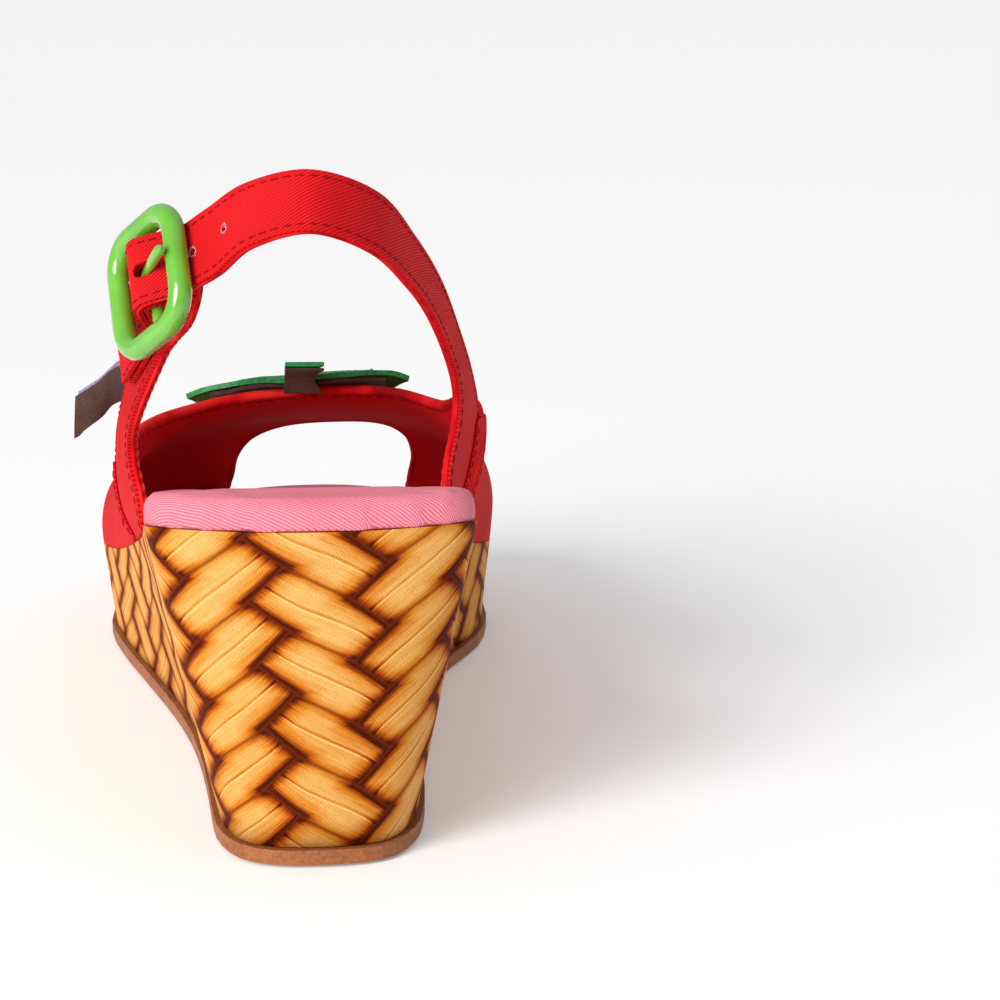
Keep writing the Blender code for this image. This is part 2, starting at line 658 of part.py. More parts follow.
def last_point(y, share):
    """The inner face of the vamp at a distance y and a share of the way over."""
    floor = feather_height(y) + GAP
    ridge_x = smooth_value(RIDGE_X, y)
    height = max(smooth_value(RIDGE_HEIGHT, y) - floor, 2.0)
    angle = math.pi * share
    powers = LATERAL_POWERS if share < 0.5 else MEDIAL_POWERS
    side = -1 if share < 0.5 else 1
    foot = outline_x(side, y) - side * UPPER_TOTAL
    across = abs(math.cos(angle)) ** (2 / powers[0])
    up = abs(math.sin(angle)) ** (2 / powers[1])
    flare = smooth_value(LATERAL_FLARE if side < 0 else MEDIAL_FLARE, y)
    flare *= math.sin(math.pi / 2 * min(up / 0.6, 1.0)) * (1.0 - blend(up, 0.7, 1.0))
    x = ridge_x + (foot - ridge_x) * across + side * flare
    return np.array((x, y, floor + height * up))


def vamp_grid():
    """Rows run over the foot, columns from the throat to the toe opening."""
    grid = np.zeros((VAMP_ROWS + 1, VAMP_COLUMNS + 1, 3))
    for i in range(VAMP_ROWS + 1):
        even = i / VAMP_ROWS
        share = even - 0.055 * math.sin(2 * math.pi * even)
        start = smooth_value(THROAT, share)
        end = smooth_value(TOE_EDGE, share)
        for j in range(VAMP_COLUMNS + 1):
            grid[i, j] = last_point(start + (end - start) * j / VAMP_COLUMNS, share)
    return grid


def net(control, row_steps, column_steps):
    """A smooth grid through a small net of control points."""
    rows = [spline(row, column_steps) for row in control]
    columns = [spline([row[k] for row in rows], row_steps) for k in range(len(rows[0]))]
    return np.array(columns).transpose(1, 0, 2)


def weave_route():
    """The strap's way through the buckle: under, over and under its three bars."""
    half = STRAP_TOTAL / 2
    over = CENTRE_BAR + GAP + CHAPE_THICKNESS + GAP + half
    route = [(-18.0, -4.6, 7.0)]
    bends = []
    for side, room in ((-1, GAP), (1, FAR_BAR_ROOM)):
        under = BUCKLE_BAR + room + half
        apart = math.hypot(BUCKLE_HALF_WIDTH, CENTRE_BAR_OUT)
        slope = math.asin((under + over) / apart) - math.atan2(-CENTRE_BAR_OUT, BUCKLE_HALF_WIDTH)
        bar = (side * BUCKLE_HALF_WIDTH, -under, 6.8)
        leave = (side * (BUCKLE_HALF_WIDTH - under * math.sin(slope)), -under * math.cos(slope), 6.9)
        meet = (side * over * math.sin(slope), CENTRE_BAR_OUT + over * math.cos(slope), 7.1)
        bends.append((bar, leave, meet))
    route += bends[0]
    route.append((0.0, CENTRE_BAR_OUT + over, 7.2))
    route += reversed(bends[1])
    last = route[-1]
    route += [(last[0] + 7.0, last[1] - 1.6, 6.5), (last[0] + 15.0, last[1] - 3.9, 4.4)]
    return route


def strap_grid():
    """The strap's middle surface: rows along the strap, columns across it."""
    lower, upper, counts = [], [], []
    for low, high in STRAP_MEDIAL:
        lower.append(low)
        upper.append(high)
        counts.append(STRAP_STEPS_ROUND)
    for along, out, half in weave_route():
        lower.append(buckle_point(along, STRAP_UP - half, out))
        upper.append(buckle_point(along, STRAP_UP + half, out))
        counts.append(STRAP_STEPS_BUCKLE)
    low = spline(lower, counts[:-1])
    high = spline(upper, counts[:-1])
    middle = (low + high) / 2
    half = (high - low) / 2
    grid = np.stack([middle + half * c for c in STRAP_COLUMNS], axis=1)
    return grid


def level(normals, rows):
    """Make a sheet's thickness level along the rows that stand on the wedge."""
    for row in rows:
        normals[row, :, 2] = 0.0
        normals[row] /= np.linalg.norm(normals[row], axis=1, keepdims=True)


def build_upper(cloth_mat, lining_mat):
    """The vamp over the forefoot and the quarter on the lateral side, each lined."""
    grid = vamp_grid()
    normals = grid_normals(grid)
    if normals[VAMP_ROWS // 2, 0][2] < 0:
        normals = -normals
    level(normals, [0, -1])
    points, faces = sheet(grid, LINING + GAP, UPPER_TOTAL, normals=normals)
    add_object("vamp_upper", points, faces, cloth_mat)
    points, faces = sheet(grid, 0.0, LINING, normals=normals)
    add_object("vamp_lining", points, faces, lining_mat)

    high_rows = [[buckle_point(*p) for p in row] for row in QUARTER_HIGH]
    grid = net([*map(np.array, QUARTER_LOW), *map(np.array, high_rows)], 2, 4)
    normals = grid_normals(grid)
    if normals[4, 4][0] > 0:
        normals = -normals
    level(normals, [0])
    points, faces = sheet(grid, LINING + GAP, UPPER_TOTAL, normals=normals)
    add_object("lateral_quarter", points, faces, cloth_mat)
    points, faces = sheet(grid, 0.0, LINING, normals=normals)
    add_object("lateral_quarter_lining", points, faces, lining_mat)


def strap_normals(grid):
    """Directions out of the strap, away from the ankle."""
    normals = grid_normals(grid)
    rear = STRAP_STEPS_ROUND * 8
    if normals[rear, 2][1] > 0:
        normals = -normals
    level(normals, [0])
    return normals


def build_strap(cloth_mat, lining_mat):
    """The ankle strap's two layers, with the prong's hole and punched holes."""
    grid = strap_grid()
    normals = strap_normals(grid)
    centre_row = STRAP_STEPS_ROUND * len(STRAP_MEDIAL) + STRAP_STEPS_BUCKLE * 4
    middle = len(STRAP_COLUMNS) // 2 - 1

    def slot(i, j):
        return j == middle and PRONG_HOLE[0] <= i - centre_row <= PRONG_HOLE[1]

    half = STRAP_TOTAL / 2
    for name, low, high, mat in (
            ("ankle_strap", STRAP_LINING + GAP - half, half, cloth_mat),
            ("ankle_strap_lining", -half, STRAP_LINING - half, lining_mat)):
        points, faces = sheet(grid, low, high, slot, normals)
        layer = add_object(name, points, faces, mat)
        for number, place in enumerate(PUNCHED_HOLES, start=1):
            row = centre_row + place
            centre = grid[row:row + 2, middle:middle + 2].mean(axis=(0, 1))
            normal = unit(normals[row:row + 2, middle:middle + 2].mean(axis=(0, 1)))
            points, faces = rod(centre - 2 * normal, centre + 2 * normal, HOLE_RADIUS, sides=10)
            cut(layer, f"{name}_hole_{number}_cutter", points, faces)


# ------------------------------------------------------------ the buckle
def build_buckle(enamel_mat):
    """The enamelled loop with its centre bar; returns the point it turns about."""
    straight_along = BUCKLE_HALF_WIDTH - BUCKLE_CORNER
    straight_up = BUCKLE_HALF_HEIGHT - BUCKLE_CORNER
    rings = []
    corner_steps = 6
    bar_sides = 10
    for quarter, (sa, su) in enumerate(((1, 1), (-1, 1), (-1, -1), (1, -1))):
        for k in range(corner_steps + 1):
            turn = math.pi / 2 * (quarter + k / corner_steps)
            out_dir = math.cos(turn) * BUCKLE_ALONG + math.sin(turn) * BUCKLE_UP
            centre = (buckle_point(sa * straight_along, su * straight_up, 0.0)
                      + BUCKLE_CORNER * out_dir)
            rings.append([centre + BUCKLE_BAR * (math.cos(a) * out_dir + math.sin(a) * BUCKLE_OUT)
                          for a in np.arange(bar_sides) * 2 * math.pi / bar_sides])
    points, faces = loft(rings, cap_start=False, cap_end=False)
    last = (len(rings) - 1) * bar_sides
    faces += [(last + i, last + (i + 1) % bar_sides, (i + 1) % bar_sides, i)
              for i in range(bar_sides)]
    hinge = buckle_point(0.0, 0.0, CENTRE_BAR_OUT)
    frame = add_object("buckle_frame", points, faces, enamel_mat, origin=hinge)
    reach = BUCKLE_HALF_HEIGHT - 0.4
    points, faces = rod(buckle_point(0.0, -reach, CENTRE_BAR_OUT),
                        buckle_point(0.0, reach, CENTRE_BAR_OUT), CENTRE_BAR, sides=12)
    join(frame, "centre_bar_guide", points, faces)
    return hinge


def mitred(line):
    """Offset directions (along, out) at each point of a side view line."""
    line = np.asarray(line, float)
    step = np.diff(line, axis=0)
    step /= np.linalg.norm(step, axis=1, keepdims=True)
    before = np.vstack((step[:1], step))
    after = np.vstack((step, step[-1:]))
    turned = np.stack((-(before + after)[:, 1], (before + after)[:, 0]), axis=1)
    side = np.stack((-after[:, 1], after[:, 0]), axis=1)
    return turned / np.sum(turned * side, axis=1, keepdims=True)


def round_bar(angles, radius):
    """Side view points on a circle about the centre bar, angles in degrees."""
    return [(radius * math.cos(math.radians(a)), CENTRE_BAR_OUT + radius * math.sin(math.radians(a)))
            for a in angles]


def build_prong(enamel_mat, hinge):
    """A rod hammered flat round the centre bar, its tip resting on the rear bar."""
    radius = CENTRE_BAR + GAP + PRONG_LOOP
    rest = BUCKLE_BAR + GAP + PRONG_RADIUS
    rise = math.asin((rest - CENTRE_BAR_OUT - radius) / BUCKLE_HALF_WIDTH)
    leave = 90.0 - math.degrees(rise)
    line = round_bar(np.arange(leave - 240.0, leave + 1.0, 30.0), radius)
    loop_count = len(line)
    end = -BUCKLE_HALF_WIDTH - PRONG_TIP
    slope = (rest - line[-1][1]) / (-BUCKLE_HALF_WIDTH - line[-1][0])
    for along in np.linspace(line[-1][0], end, 6)[1:]:
        line.append((along, rest + slope * (along + BUCKLE_HALF_WIDTH)))
    sides = 10
    rings = []
    for k, ((along, out), (da, do)) in enumerate(zip(line, mitred(line))):
        share = np.clip((k - loop_count + 1) / 3.0, 0.0, 1.0)
        thick = PRONG_LOOP + (PRONG_RADIUS - PRONG_LOOP) * share
        if k == len(line) - 1:
            thick *= 0.8
        normal = da * BUCKLE_ALONG + do * BUCKLE_OUT
        rings.append([buckle_point(along, STRAP_UP, out) + thick * math.cos(t) * normal
                      + PRONG_RADIUS * math.sin(t) * BUCKLE_UP
                      for t in np.arange(sides) * 2 * math.pi / sides])
    points, faces = loft(rings)
    add_object("buckle_prong", points, faces, enamel_mat, origin=hinge)


def build_chape(cloth_mat):
    """A folded strip round the centre bar, stitched down on the lateral quarter."""
    half = CHAPE_THICKNESS / 2
    outer_leg = BUCKLE_BAR + FAR_BAR_ROOM + STRAP_TOTAL + GAP + half
    inner_leg = outer_leg + CHAPE_THICKNESS + 2 * GAP
    drops = ((10.4, 0.0), (16.5, 1.5), (24.0, 3.6), (33.0, 6.0))
    line = [(along, -inner_leg - drop) for along, drop in reversed(drops)]
    loop_start = len(line)
    line += round_bar(np.arange(270.0, 29.0, -30.0), CENTRE_BAR + GAP + half)
    loop_end = len(line) - 1
    for angle in (-128.0, -109.0):      # round the strap that passes the front bar
        turn = math.radians(angle)
        line.append((BUCKLE_HALF_WIDTH + outer_leg * math.cos(turn), outer_leg * math.sin(turn)))
    line += [(along, -outer_leg - drop) for along, drop in drops]
    ups = (-CHAPE_HALF_WIDTH, -CHAPE_SLOT, CHAPE_SLOT, CHAPE_HALF_WIDTH)
    grid = np.array([[buckle_point(a, u, o) for u in ups] for a, o in line])
    normals = np.array([[da * BUCKLE_ALONG + do * BUCKLE_OUT] * len(ups)
                        for da, do in mitred(line)])

    def slot(i, j):
        return j == 1 and loop_start - 1 <= i <= loop_end

    points, faces = sheet(grid, -half, half, slot, normals)
    add_object("buckle_chape", points, faces, cloth_mat)


# ------------------------------------------------------------ trim
def vamp_height(x, y):
    """Height of the vamp's outer face above the ground, over the forefoot."""
    floor = feather_height(y) + GAP
    ridge_x = smooth_value(RIDGE_X, y)
    side = -1 if x < ridge_x else 1
    powers = LATERAL_POWERS if side < 0 else MEDIAL_POWERS
    foot = outline_x(side, y) - side * UPPER_TOTAL
    across = min(abs((x - ridge_x) / (foot - ridge_x)), 0.999)
    sine = math.sqrt(1.0 - across ** powers[0])
    height = smooth_value(RIDGE_HEIGHT, y) - floor
    return floor + height * sine ** (2 / powers[1]) + UPPER_TOTAL


def leaf_grid():
    """The calyx's lower face: across from tip to tip, then out to three sepals."""
    edge = spline(LEAF_EDGE, LEAF_EDGE_STEPS)
    thickness = LEAF_BACKING + GAP + LEAF_FACE
    grid = np.zeros((LEAF_COLUMNS + 1, LEAF_ROWS + 1, 3))
    left, right = edge[0, 0], edge[-1, 0]
    for i in range(LEAF_COLUMNS + 1):
        share = i / LEAF_COLUMNS
        x = left + (right - left) * share
        rear = np.interp(x, edge[:, 0], edge[:, 1])
        rear_height = np.interp(x, edge[:, 0], edge[:, 2]) - thickness
        rest = vamp_height(x, max(rear, THROAT_Y)) + LEAF_REST
        raised = max(rear_height - rest, 0.0)
        sepal = abs(math.sin(3 * math.pi * share)) ** 1.3
        reach = math.sin(math.pi * share) ** 0.5 * (LEAF_NOTCH + LEAF_SEPAL * sepal)
        for j in range(LEAF_ROWS + 1):
            y = rear + max(reach, LEAF_TIP) * j / LEAF_ROWS
            lift = LEAF_REST + raised * (1.0 - blend(y, rear, rear + LEAF_CURL))
            grid[i, j] = (x, y, vamp_height(x, max(y, THROAT_Y)) + lift)
    return grid


def build_calyx(leaf_mat, backing_mat):
    """Leaf piece on the throat: sepals that curl up at the back, and a stem."""
    grid = leaf_grid()
    normals = grid_normals(grid)
    if normals[LEAF_COLUMNS // 2, 1][2] < 0:
        normals = -normals
    points, faces = sheet(grid, 0.0, LEAF_BACKING, normals=normals)
    add_object("calyx_backing", points, faces, backing_mat)
    points, faces = sheet(grid, LEAF_BACKING + GAP, LEAF_BACKING + GAP + LEAF_FACE,
                          normals=normals)
    add_object("calyx_leaf", points, faces, leaf_mat)

    grid = spline([np.concatenate(row) for row in STEM_ROWS], 2).reshape(-1, 2, 3)
    normals = grid_normals(grid)
    if normals[0, 0][1] < 0:
        normals = -normals
    points, faces = sheet(grid, 0.0, LEAF_BACKING, normals=normals)
    add_object("stem_backing", points, faces, backing_mat)
    points, faces = sheet(grid, LEAF_BACKING + GAP, LEAF_BACKING + GAP + LEAF_FACE,
                          normals=normals)
    add_object("calyx_stem", points, faces, leaf_mat)


def build_side_tab(face_mat, backing_mat):
    """Two-layer tab sewn to the lateral quarter, which stands out sideways."""
    grid = spline([np.concatenate(row) for row in TAB_ROWS], 3).reshape(-1, 2, 3)
    middle = grid.mean(axis=1, keepdims=True)
    grid = np.concatenate((grid[:, :1], middle, grid[:, 1:]), axis=1)
    normals = grid_normals(grid)
    if normals[-1, 0][1] > 0:
        normals = -normals
    points, faces = sheet(grid, GAP / 2, GAP / 2 + TAB_BACKING, normals=normals)
    add_object("side_tab_backing", points, faces, backing_mat)
    points, faces = sheet(grid, -GAP / 2 - TAB_FACE, -GAP / 2, normals=normals)
    add_object("side_tab_face", points, faces, face_mat)


def main():
    clear_scene()
    red = material("red_cloth", (0.80, 0.03, 0.04), 0.75)
    dark_red = material("red_lining", (0.45, 0.01, 0.02), 0.8)
    pink = material("pink_cloth", (0.93, 0.30, 0.38), 0.8)
    print_mat = material("printed_cloth", (0.80, 0.45, 0.15), 0.7)
    core_mat = material("moulded_core", (0.75, 0.72, 0.65), 0.6)
    board_mat = material("fibreboard", (0.42, 0.33, 0.24), 0.9)
    foam_mat = material("foam", (0.85, 0.82, 0.75), 0.9)
    rubber = material("tan_rubber", (0.45, 0.20, 0.07), 0.6)
    steel = material("steel", (0.6, 0.6, 0.62), 0.35, 1.0)
    brass = material("rivet_metal", (0.7, 0.6, 0.4), 0.4, 1.0)
    enamel = material("green_enamel", (0.13, 0.55, 0.08), 0.25)
    leaf = material("green_leather", (0.01, 0.25, 0.05), 0.6)
    suede = material("brown_backing", (0.13, 0.05, 0.02), 0.9)
    lilac = material("lilac_leather", (0.35, 0.28, 0.42), 0.6)

    build_outsole(rubber)
    build_wedge(core_mat, print_mat, board_mat, steel, brass)
    build_footbed(foam_mat, pink)
    build_upper(red, dark_red)
    build_strap(red, dark_red)
    hinge = build_buckle(enamel)
    build_prong(enamel, hinge)
    build_chape(red)
    build_calyx(leaf, suede)
    build_side_tab(lilac, suede)


main()
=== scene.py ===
"""Looks of the wedge sandal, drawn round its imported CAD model.

Lengths are in millimetres until a mesh is made, which is in metres. The frame
is the CAD's: +Y runs from heel to toe, +Z is up and +X is the medial side.
"""
import math

import bmesh
import bpy
import numpy as np
from mathutils import Matrix


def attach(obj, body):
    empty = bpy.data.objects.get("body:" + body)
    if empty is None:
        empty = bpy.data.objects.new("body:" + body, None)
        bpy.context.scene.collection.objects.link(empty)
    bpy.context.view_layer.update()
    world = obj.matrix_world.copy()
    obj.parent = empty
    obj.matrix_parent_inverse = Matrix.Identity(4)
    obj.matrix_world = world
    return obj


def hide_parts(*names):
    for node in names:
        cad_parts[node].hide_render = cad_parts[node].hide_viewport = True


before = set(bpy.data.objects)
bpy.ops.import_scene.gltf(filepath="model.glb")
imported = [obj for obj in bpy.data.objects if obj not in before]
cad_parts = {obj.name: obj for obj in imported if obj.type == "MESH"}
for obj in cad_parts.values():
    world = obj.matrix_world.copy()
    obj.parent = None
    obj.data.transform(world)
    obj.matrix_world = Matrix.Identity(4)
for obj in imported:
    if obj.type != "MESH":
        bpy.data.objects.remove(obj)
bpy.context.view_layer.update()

MM = 0.001
GAP = 0.3
RNG = np.random.default_rng(7)

# ------------------------------------------------- sizes shared with the CAD
REAR_POINT = ((0.0, -25.8), (0.0, -35.0))
MEDIAL_ROWS = (
    ((9.5, -24.7), (15.0, -33.6)), ((15.6, -21.2), (25.5, -30.6)),
    ((19.6, -13.6), (30.3, -27.0)), ((21.4, -5.0), (31.7, -20.5)),
    ((22.3, 10.0), (32.0, -2.0)), ((22.3, 30.0), (30.9, 20.0)),
    ((22.4, 50.0), (29.4, 42.0)), ((23.4, 70.0), (29.6, 62.0)),
    ((26.6, 90.0), (32.5, 83.0)), ((33.0, 107.0), (37.3, 103.0)),
    ((39.2, 122.0), (41.5, 121.0)), ((42.2, 140.0), (43.0, 140.0)),
    ((40.8, 158.0), (41.4, 158.0)), ((36.0, 174.0), (36.5, 174.0)),
    ((27.0, 188.0), (27.3, 188.0)), ((14.5, 196.6), (14.7, 196.6)),
)
TOE_POINT = ((0.5, 199.5), (0.5, 199.5))
LATERAL_ROWS = (
    ((-8.5, -25.0), (-15.0, -33.6)), ((-14.9, -21.2), (-25.5, -30.6)),
    ((-18.9, -13.6), (-30.3, -27.0)), ((-20.7, -5.0), (-31.9, -20.5)),
    ((-22.2, 10.0), (-33.2, -2.0)), ((-24.5, 30.0), (-34.8, 20.0)),
    ((-27.8, 50.0), (-36.6, 42.0)), ((-32.7, 70.0), (-38.7, 62.0)),
    ((-38.6, 90.0), (-42.4, 83.0)), ((-43.8, 107.0), (-46.5, 103.0)),
    ((-48.1, 122.0), (-50.4, 121.0)), ((-51.8, 140.0), (-53.2, 140.0)),
    ((-50.6, 158.0), (-51.3, 158.0)), ((-44.0, 174.0), (-44.6, 174.0)),
    ((-31.0, 188.0), (-31.3, 188.0)), ((-15.5, 196.8), (-15.8, 196.8)),
)
HEEL_HALF_WIDTH = 31.5
EDGE_STEPS = 5                  # points per stretch of the outlines

FEATHER_HEIGHT = ((-36, 69.9), (-28, 68.0), (0, 61.0), (30, 53.3), (60, 44.9),
                  (85, 36.9), (105, 31.2), (120, 27.8), (135, 25.0), (150, 23.0),
                  (170, 21.2), (200, 20.0))
SEAT_CUP = 1.6
SEAT_CUP_SPAN = (-10.0, 60.0)
OUTSOLE_THICKNESS = 3.0
TREAD_DEPTH = 0.7
OUTSOLE_LIP = 1.2
TOE_SPRING = 3.5
TOE_SPRING_START = 145.0
BOARD_THICKNESS = 2.0
FOAM_THICKNESS_HEEL = 3.6
FOAM_THICKNESS_TOE = 1.8
FOAM_TAPER = (20.0, 150.0)
COVER_THICKNESS = 1.0
UPPER_ROOM = 2.8                # width of the ledge that the upper stands on
UPPER_START = (22.0, 38.0)
SHELL = 1.1
LINING = 0.8
UPPER_TOTAL = LINING + GAP + SHELL

BUCKLE_CENTRE = np.array((-31.6, 11.9, 109.5))
BUCKLE_ALONG = np.array((-0.549, 0.652, -0.523))
BUCKLE_UP = np.array((-0.15, 0.60, 0.78))
BUCKLE_HALF_WIDTH = 11.0
BUCKLE_HALF_HEIGHT = 11.9
BUCKLE_CORNER = 6.4
BUCKLE_BAR = 2.35
CENTRE_BAR = 1.3
CENTRE_BAR_OUT = -1.4
PRONG_RADIUS = 1.15
PRONG_LOOP = 0.6
PRONG_TIP = 1.6
CHAPE_THICKNESS = 1.2
CHAPE_HALF_WIDTH = 6.0
CHAPE_SLOT = 2.9
STRAP_UP = 1.2


def unit(v):
    """One direction, made 1 long."""
    v = np.asarray(v, float)
    return v / np.linalg.norm(v)


def units(v):
    """Many directions, each made 1 long."""
    return v / np.linalg.norm(v, axis=-1, keepdims=True)


def distances_along(path):
    """Distance from a path's first point to each of its points."""
    return np.concatenate(([0.0], np.cumsum(np.linalg.norm(np.diff(path, axis=0), axis=1))))


BUCKLE_ALONG = unit(BUCKLE_ALONG)
BUCKLE_UP = unit(BUCKLE_UP - BUCKLE_ALONG * (BUCKLE_UP @ BUCKLE_ALONG))
BUCKLE_OUT = np.cross(BUCKLE_UP, BUCKLE_ALONG)


def buckle_point(along, up, out):
    """A point given by its place on the buckle's own axes."""
    return BUCKLE_CENTRE + along * BUCKLE_ALONG + up * BUCKLE_UP + out * BUCKLE_OUT


def smooth_value(table, x):
    """A smooth curve through (x, value) pairs, held level past the ends."""
    xs = np.array([p[0] for p in table], float)
    vs = np.array([p[1] for p in table], float)
    x = np.clip(x, xs[0], xs[-1])
    slopes = np.gradient(vs, xs)
    i = np.clip(np.searchsorted(xs, x) - 1, 0, len(xs) - 2)
    step = xs[i + 1] - xs[i]
    t = (x - xs[i]) / step
    return ((1 + 2 * t) * (1 - t) ** 2 * vs[i] + t * (1 - t) ** 2 * step * slopes[i]
            + t * t * (3 - 2 * t) * vs[i + 1] + t * t * (t - 1) * step * slopes[i + 1])


def spline(points, counts, closed=False):
    """Catmull-Rom curve through points: counts is the steps per stretch."""
    p = np.asarray(points, float)
    stretches = len(p) if closed else len(p) - 1
    if isinstance(counts, int):
        counts = [counts] * stretches
    out = []
    for i in range(stretches):
        if closed:
            a, b, c, d = (p[(i + k) % len(p)] for k in (-1, 0, 1, 2))
        else:
            b, c = p[i], p[i + 1]
            a = p[i - 1] if i > 0 else 2 * b - c
            d = p[i + 2] if i + 2 < len(p) else 2 * c - b
        for k in range(counts[i]):
            t = k / counts[i]
            out.append(0.5 * (2 * b + (c - a) * t + (2 * a - 5 * b + 4 * c - d) * t * t
                              + (3 * b - a - 3 * c + d) * t ** 3))
    if not closed:
        out.append(p[-1])
    return np.array(out)


def blend(x, start, end):
    """0 before start, 1 after end, smooth in between."""
    t = np.clip((x - start) / (end - start), 0.0, 1.0)
    return t * t * (3 - 2 * t)


def feather_height(y):
    """Height of the feather line, where the upper meets the wedge."""
    return smooth_value(FEATHER_HEIGHT, y)


def seat_height(x, y):
    """Height of the wedge's upper face, slightly cupped at the heel."""
    cup = SEAT_CUP * (1.0 - blend(y, *SEAT_CUP_SPAN))
    return feather_height(y) + cup * (x / HEEL_HALF_WIDTH) ** 2


def outline(which):
    """Closed outline from the heel, up the medial side and back: 0 tread, 1 feather."""
    rows = [REAR_POINT] + list(MEDIAL_ROWS) + [TOE_POINT] + list(reversed(LATERAL_ROWS))
    return spline([row[which] for row in rows], EDGE_STEPS, closed=True)


def inset(points, distance):
    """A closed outline moved inwards, by one distance or one for each point."""
    along = units(np.roll(points, -1, axis=0) - np.roll(points, 1, axis=0))
    inward = np.stack((-along[:, 1], along[:, 0]), axis=1)
    return points + inward * np.reshape(distance, (-1, 1) if np.ndim(distance) else (1, 1))


TREAD_OUTLINE = outline(0)
FEATHER_OUTLINE = outline(1)
HALF = len(FEATHER_OUTLINE) // 2


def outline_x(side, y):
    """The feather line's x at a distance y: side is -1 lateral, +1 medial."""
    half = FEATHER_OUTLINE[:HALF + 1] if side > 0 else FEATHER_OUTLINE[HALF:]
    half = half[np.argsort(half[:, 1])]
    return float(np.interp(y, half[:, 1], half[:, 0]))


def raise_outline(points, height):
    """Flat points lifted to a height that depends on x and y."""
    return np.array([(x, y, height(x, y)) for x, y in points])


def outsole_top(x, y):
    """Height of the outsole's upper face; the same at every x."""
    lift = max(0.0, (y - TOE_SPRING_START) / (TOE_POINT[0][1] - TOE_SPRING_START))
    return TREAD_DEPTH + TOE_SPRING * lift ** 2 + OUTSOLE_THICKNESS


# ------------------------------------------------------------ node materials
def arithmetic(operation, swapped=False):
    """A method of Value that adds one math node."""
    def method(self, other):
        pair = (other, self) if swapped else (self, other)
        return self.shader.calc(operation, *pair)
    return method


class Value:
    """Something that a material works out, written as ordinary arithmetic."""

    def __init__(self, shader, socket):
        self.shader = shader
        self.socket = socket

    __add__ = arithmetic("ADD")
    __radd__ = arithmetic("ADD", swapped=True)
    __sub__ = arithmetic("SUBTRACT")
    __rsub__ = arithmetic("SUBTRACT", swapped=True)
    __mul__ = arithmetic("MULTIPLY")
    __rmul__ = arithmetic("MULTIPLY", swapped=True)
    __truediv__ = arithmetic("DIVIDE")


class Shader:
    """A node material, with short calls for the nodes of its pattern."""

    def __init__(self, name):
        self.mat = bpy.data.materials.new(name)
        self.mat.use_nodes = True
        self.tree = self.mat.node_tree
        self.bsdf = self.tree.nodes["Principled BSDF"]

    def node(self, kind, **settings):
        node = self.tree.nodes.new(kind)
        for key, value in settings.items():
            setattr(node, key, value)
        return node

    def put(self, socket, value):
        if isinstance(value, Value):
            self.tree.links.new(value.socket, socket)
        else:
            socket.default_value = value

    def calc(self, operation, *values):
        node = self.node("ShaderNodeMath", operation=operation)
        for socket, value in zip(node.inputs, values):
            self.put(socket, value)
        return Value(self, node.outputs[0])

    def uv(self):
        """The surface coordinates u and v, in millimetres."""
        node = self.node("ShaderNodeUVMap", uv_map="UVMap")
        split = self.node("ShaderNodeSeparateXYZ")
        self.put(split.inputs[0], Value(self, node.outputs[0]))
        return tuple(Value(self, split.outputs[k]) * (1.0 / MM) for k in (0, 1))

    def position(self):
        """Object coordinates in metres: the piece's own place, at rest."""
        return Value(self, self.node("ShaderNodeTexCoord").outputs["Object"])

    def join(self, x, y, z=0.0):
        node = self.node("ShaderNodeCombineXYZ")
        for socket, value in zip(node.inputs, (x, y, z)):
            self.put(socket, value)
        return Value(self, node.outputs[0])

    def noise(self, vector, scale, detail=3.0, roughness=0.5):
        node = self.node("ShaderNodeTexNoise")
        self.put(node.inputs["Vector"], vector)
        node.inputs["Scale"].default_value = scale
        node.inputs["Detail"].default_value = detail
        node.inputs["Roughness"].default_value = roughness
        return Value(self, node.outputs["Fac"])

    def ramp(self, value, stops):
        """A colour ramp: stops are (place, linear colour)."""
        node = self.node("ShaderNodeValToRGB")
        self.put(node.inputs[0], value)
        elements = node.color_ramp.elements
        while len(elements) < len(stops):
            elements.new(0.5)
        for element, (place, colour) in zip(elements, stops):
            element.position = place
            element.color = (*colour, 1.0)
        return Value(self, node.outputs[0])

    def step(self, value, start, end, low=0.0, high=1.0):
        node = self.node("ShaderNodeMapRange", interpolation_type="SMOOTHSTEP")
        for socket, setting in zip(node.inputs[:5], (value, start, end, low, high)):
            self.put(socket, setting)
        return Value(self, node.outputs[0])

    def mix(self, factor, a, b, how="MIX"):
        node = self.node("ShaderNodeMix", data_type="RGBA", blend_type=how)
        self.put(node.inputs[0], factor)
        for socket, value in zip((node.inputs[6], node.inputs[7]), (a, b)):
            self.put(socket, (*value, 1.0) if isinstance(value, tuple) else value)
        return Value(self, node.outputs[2])

    def bump(self, height, distance, strength=1.0):
        node = self.node("ShaderNodeBump")
        node.inputs["Strength"].default_value = strength
        node.inputs["Distance"].default_value = distance
        self.put(node.inputs["Height"], height)
        self.put(self.bsdf.inputs["Normal"], Value(self, node.outputs[0]))

    def finish(self, colour, roughness, **constants):
        self.put(self.bsdf.inputs["Base Color"],
                 (*colour, 1.0) if isinstance(colour, tuple) else colour)
        self.put(self.bsdf.inputs["Roughness"], roughness)
        for name, value in constants.items():
            self.bsdf.inputs[name.replace("_", " ")].default_value = value
        return self.mat


def srgb(r, g, b):
    """Linear colour from display values 0 to 255."""
    return tuple((v / 255 / 12.92) if v <= 10 else ((v / 255 + 0.055) / 1.055) ** 2.4
                 for v in (r, g, b))


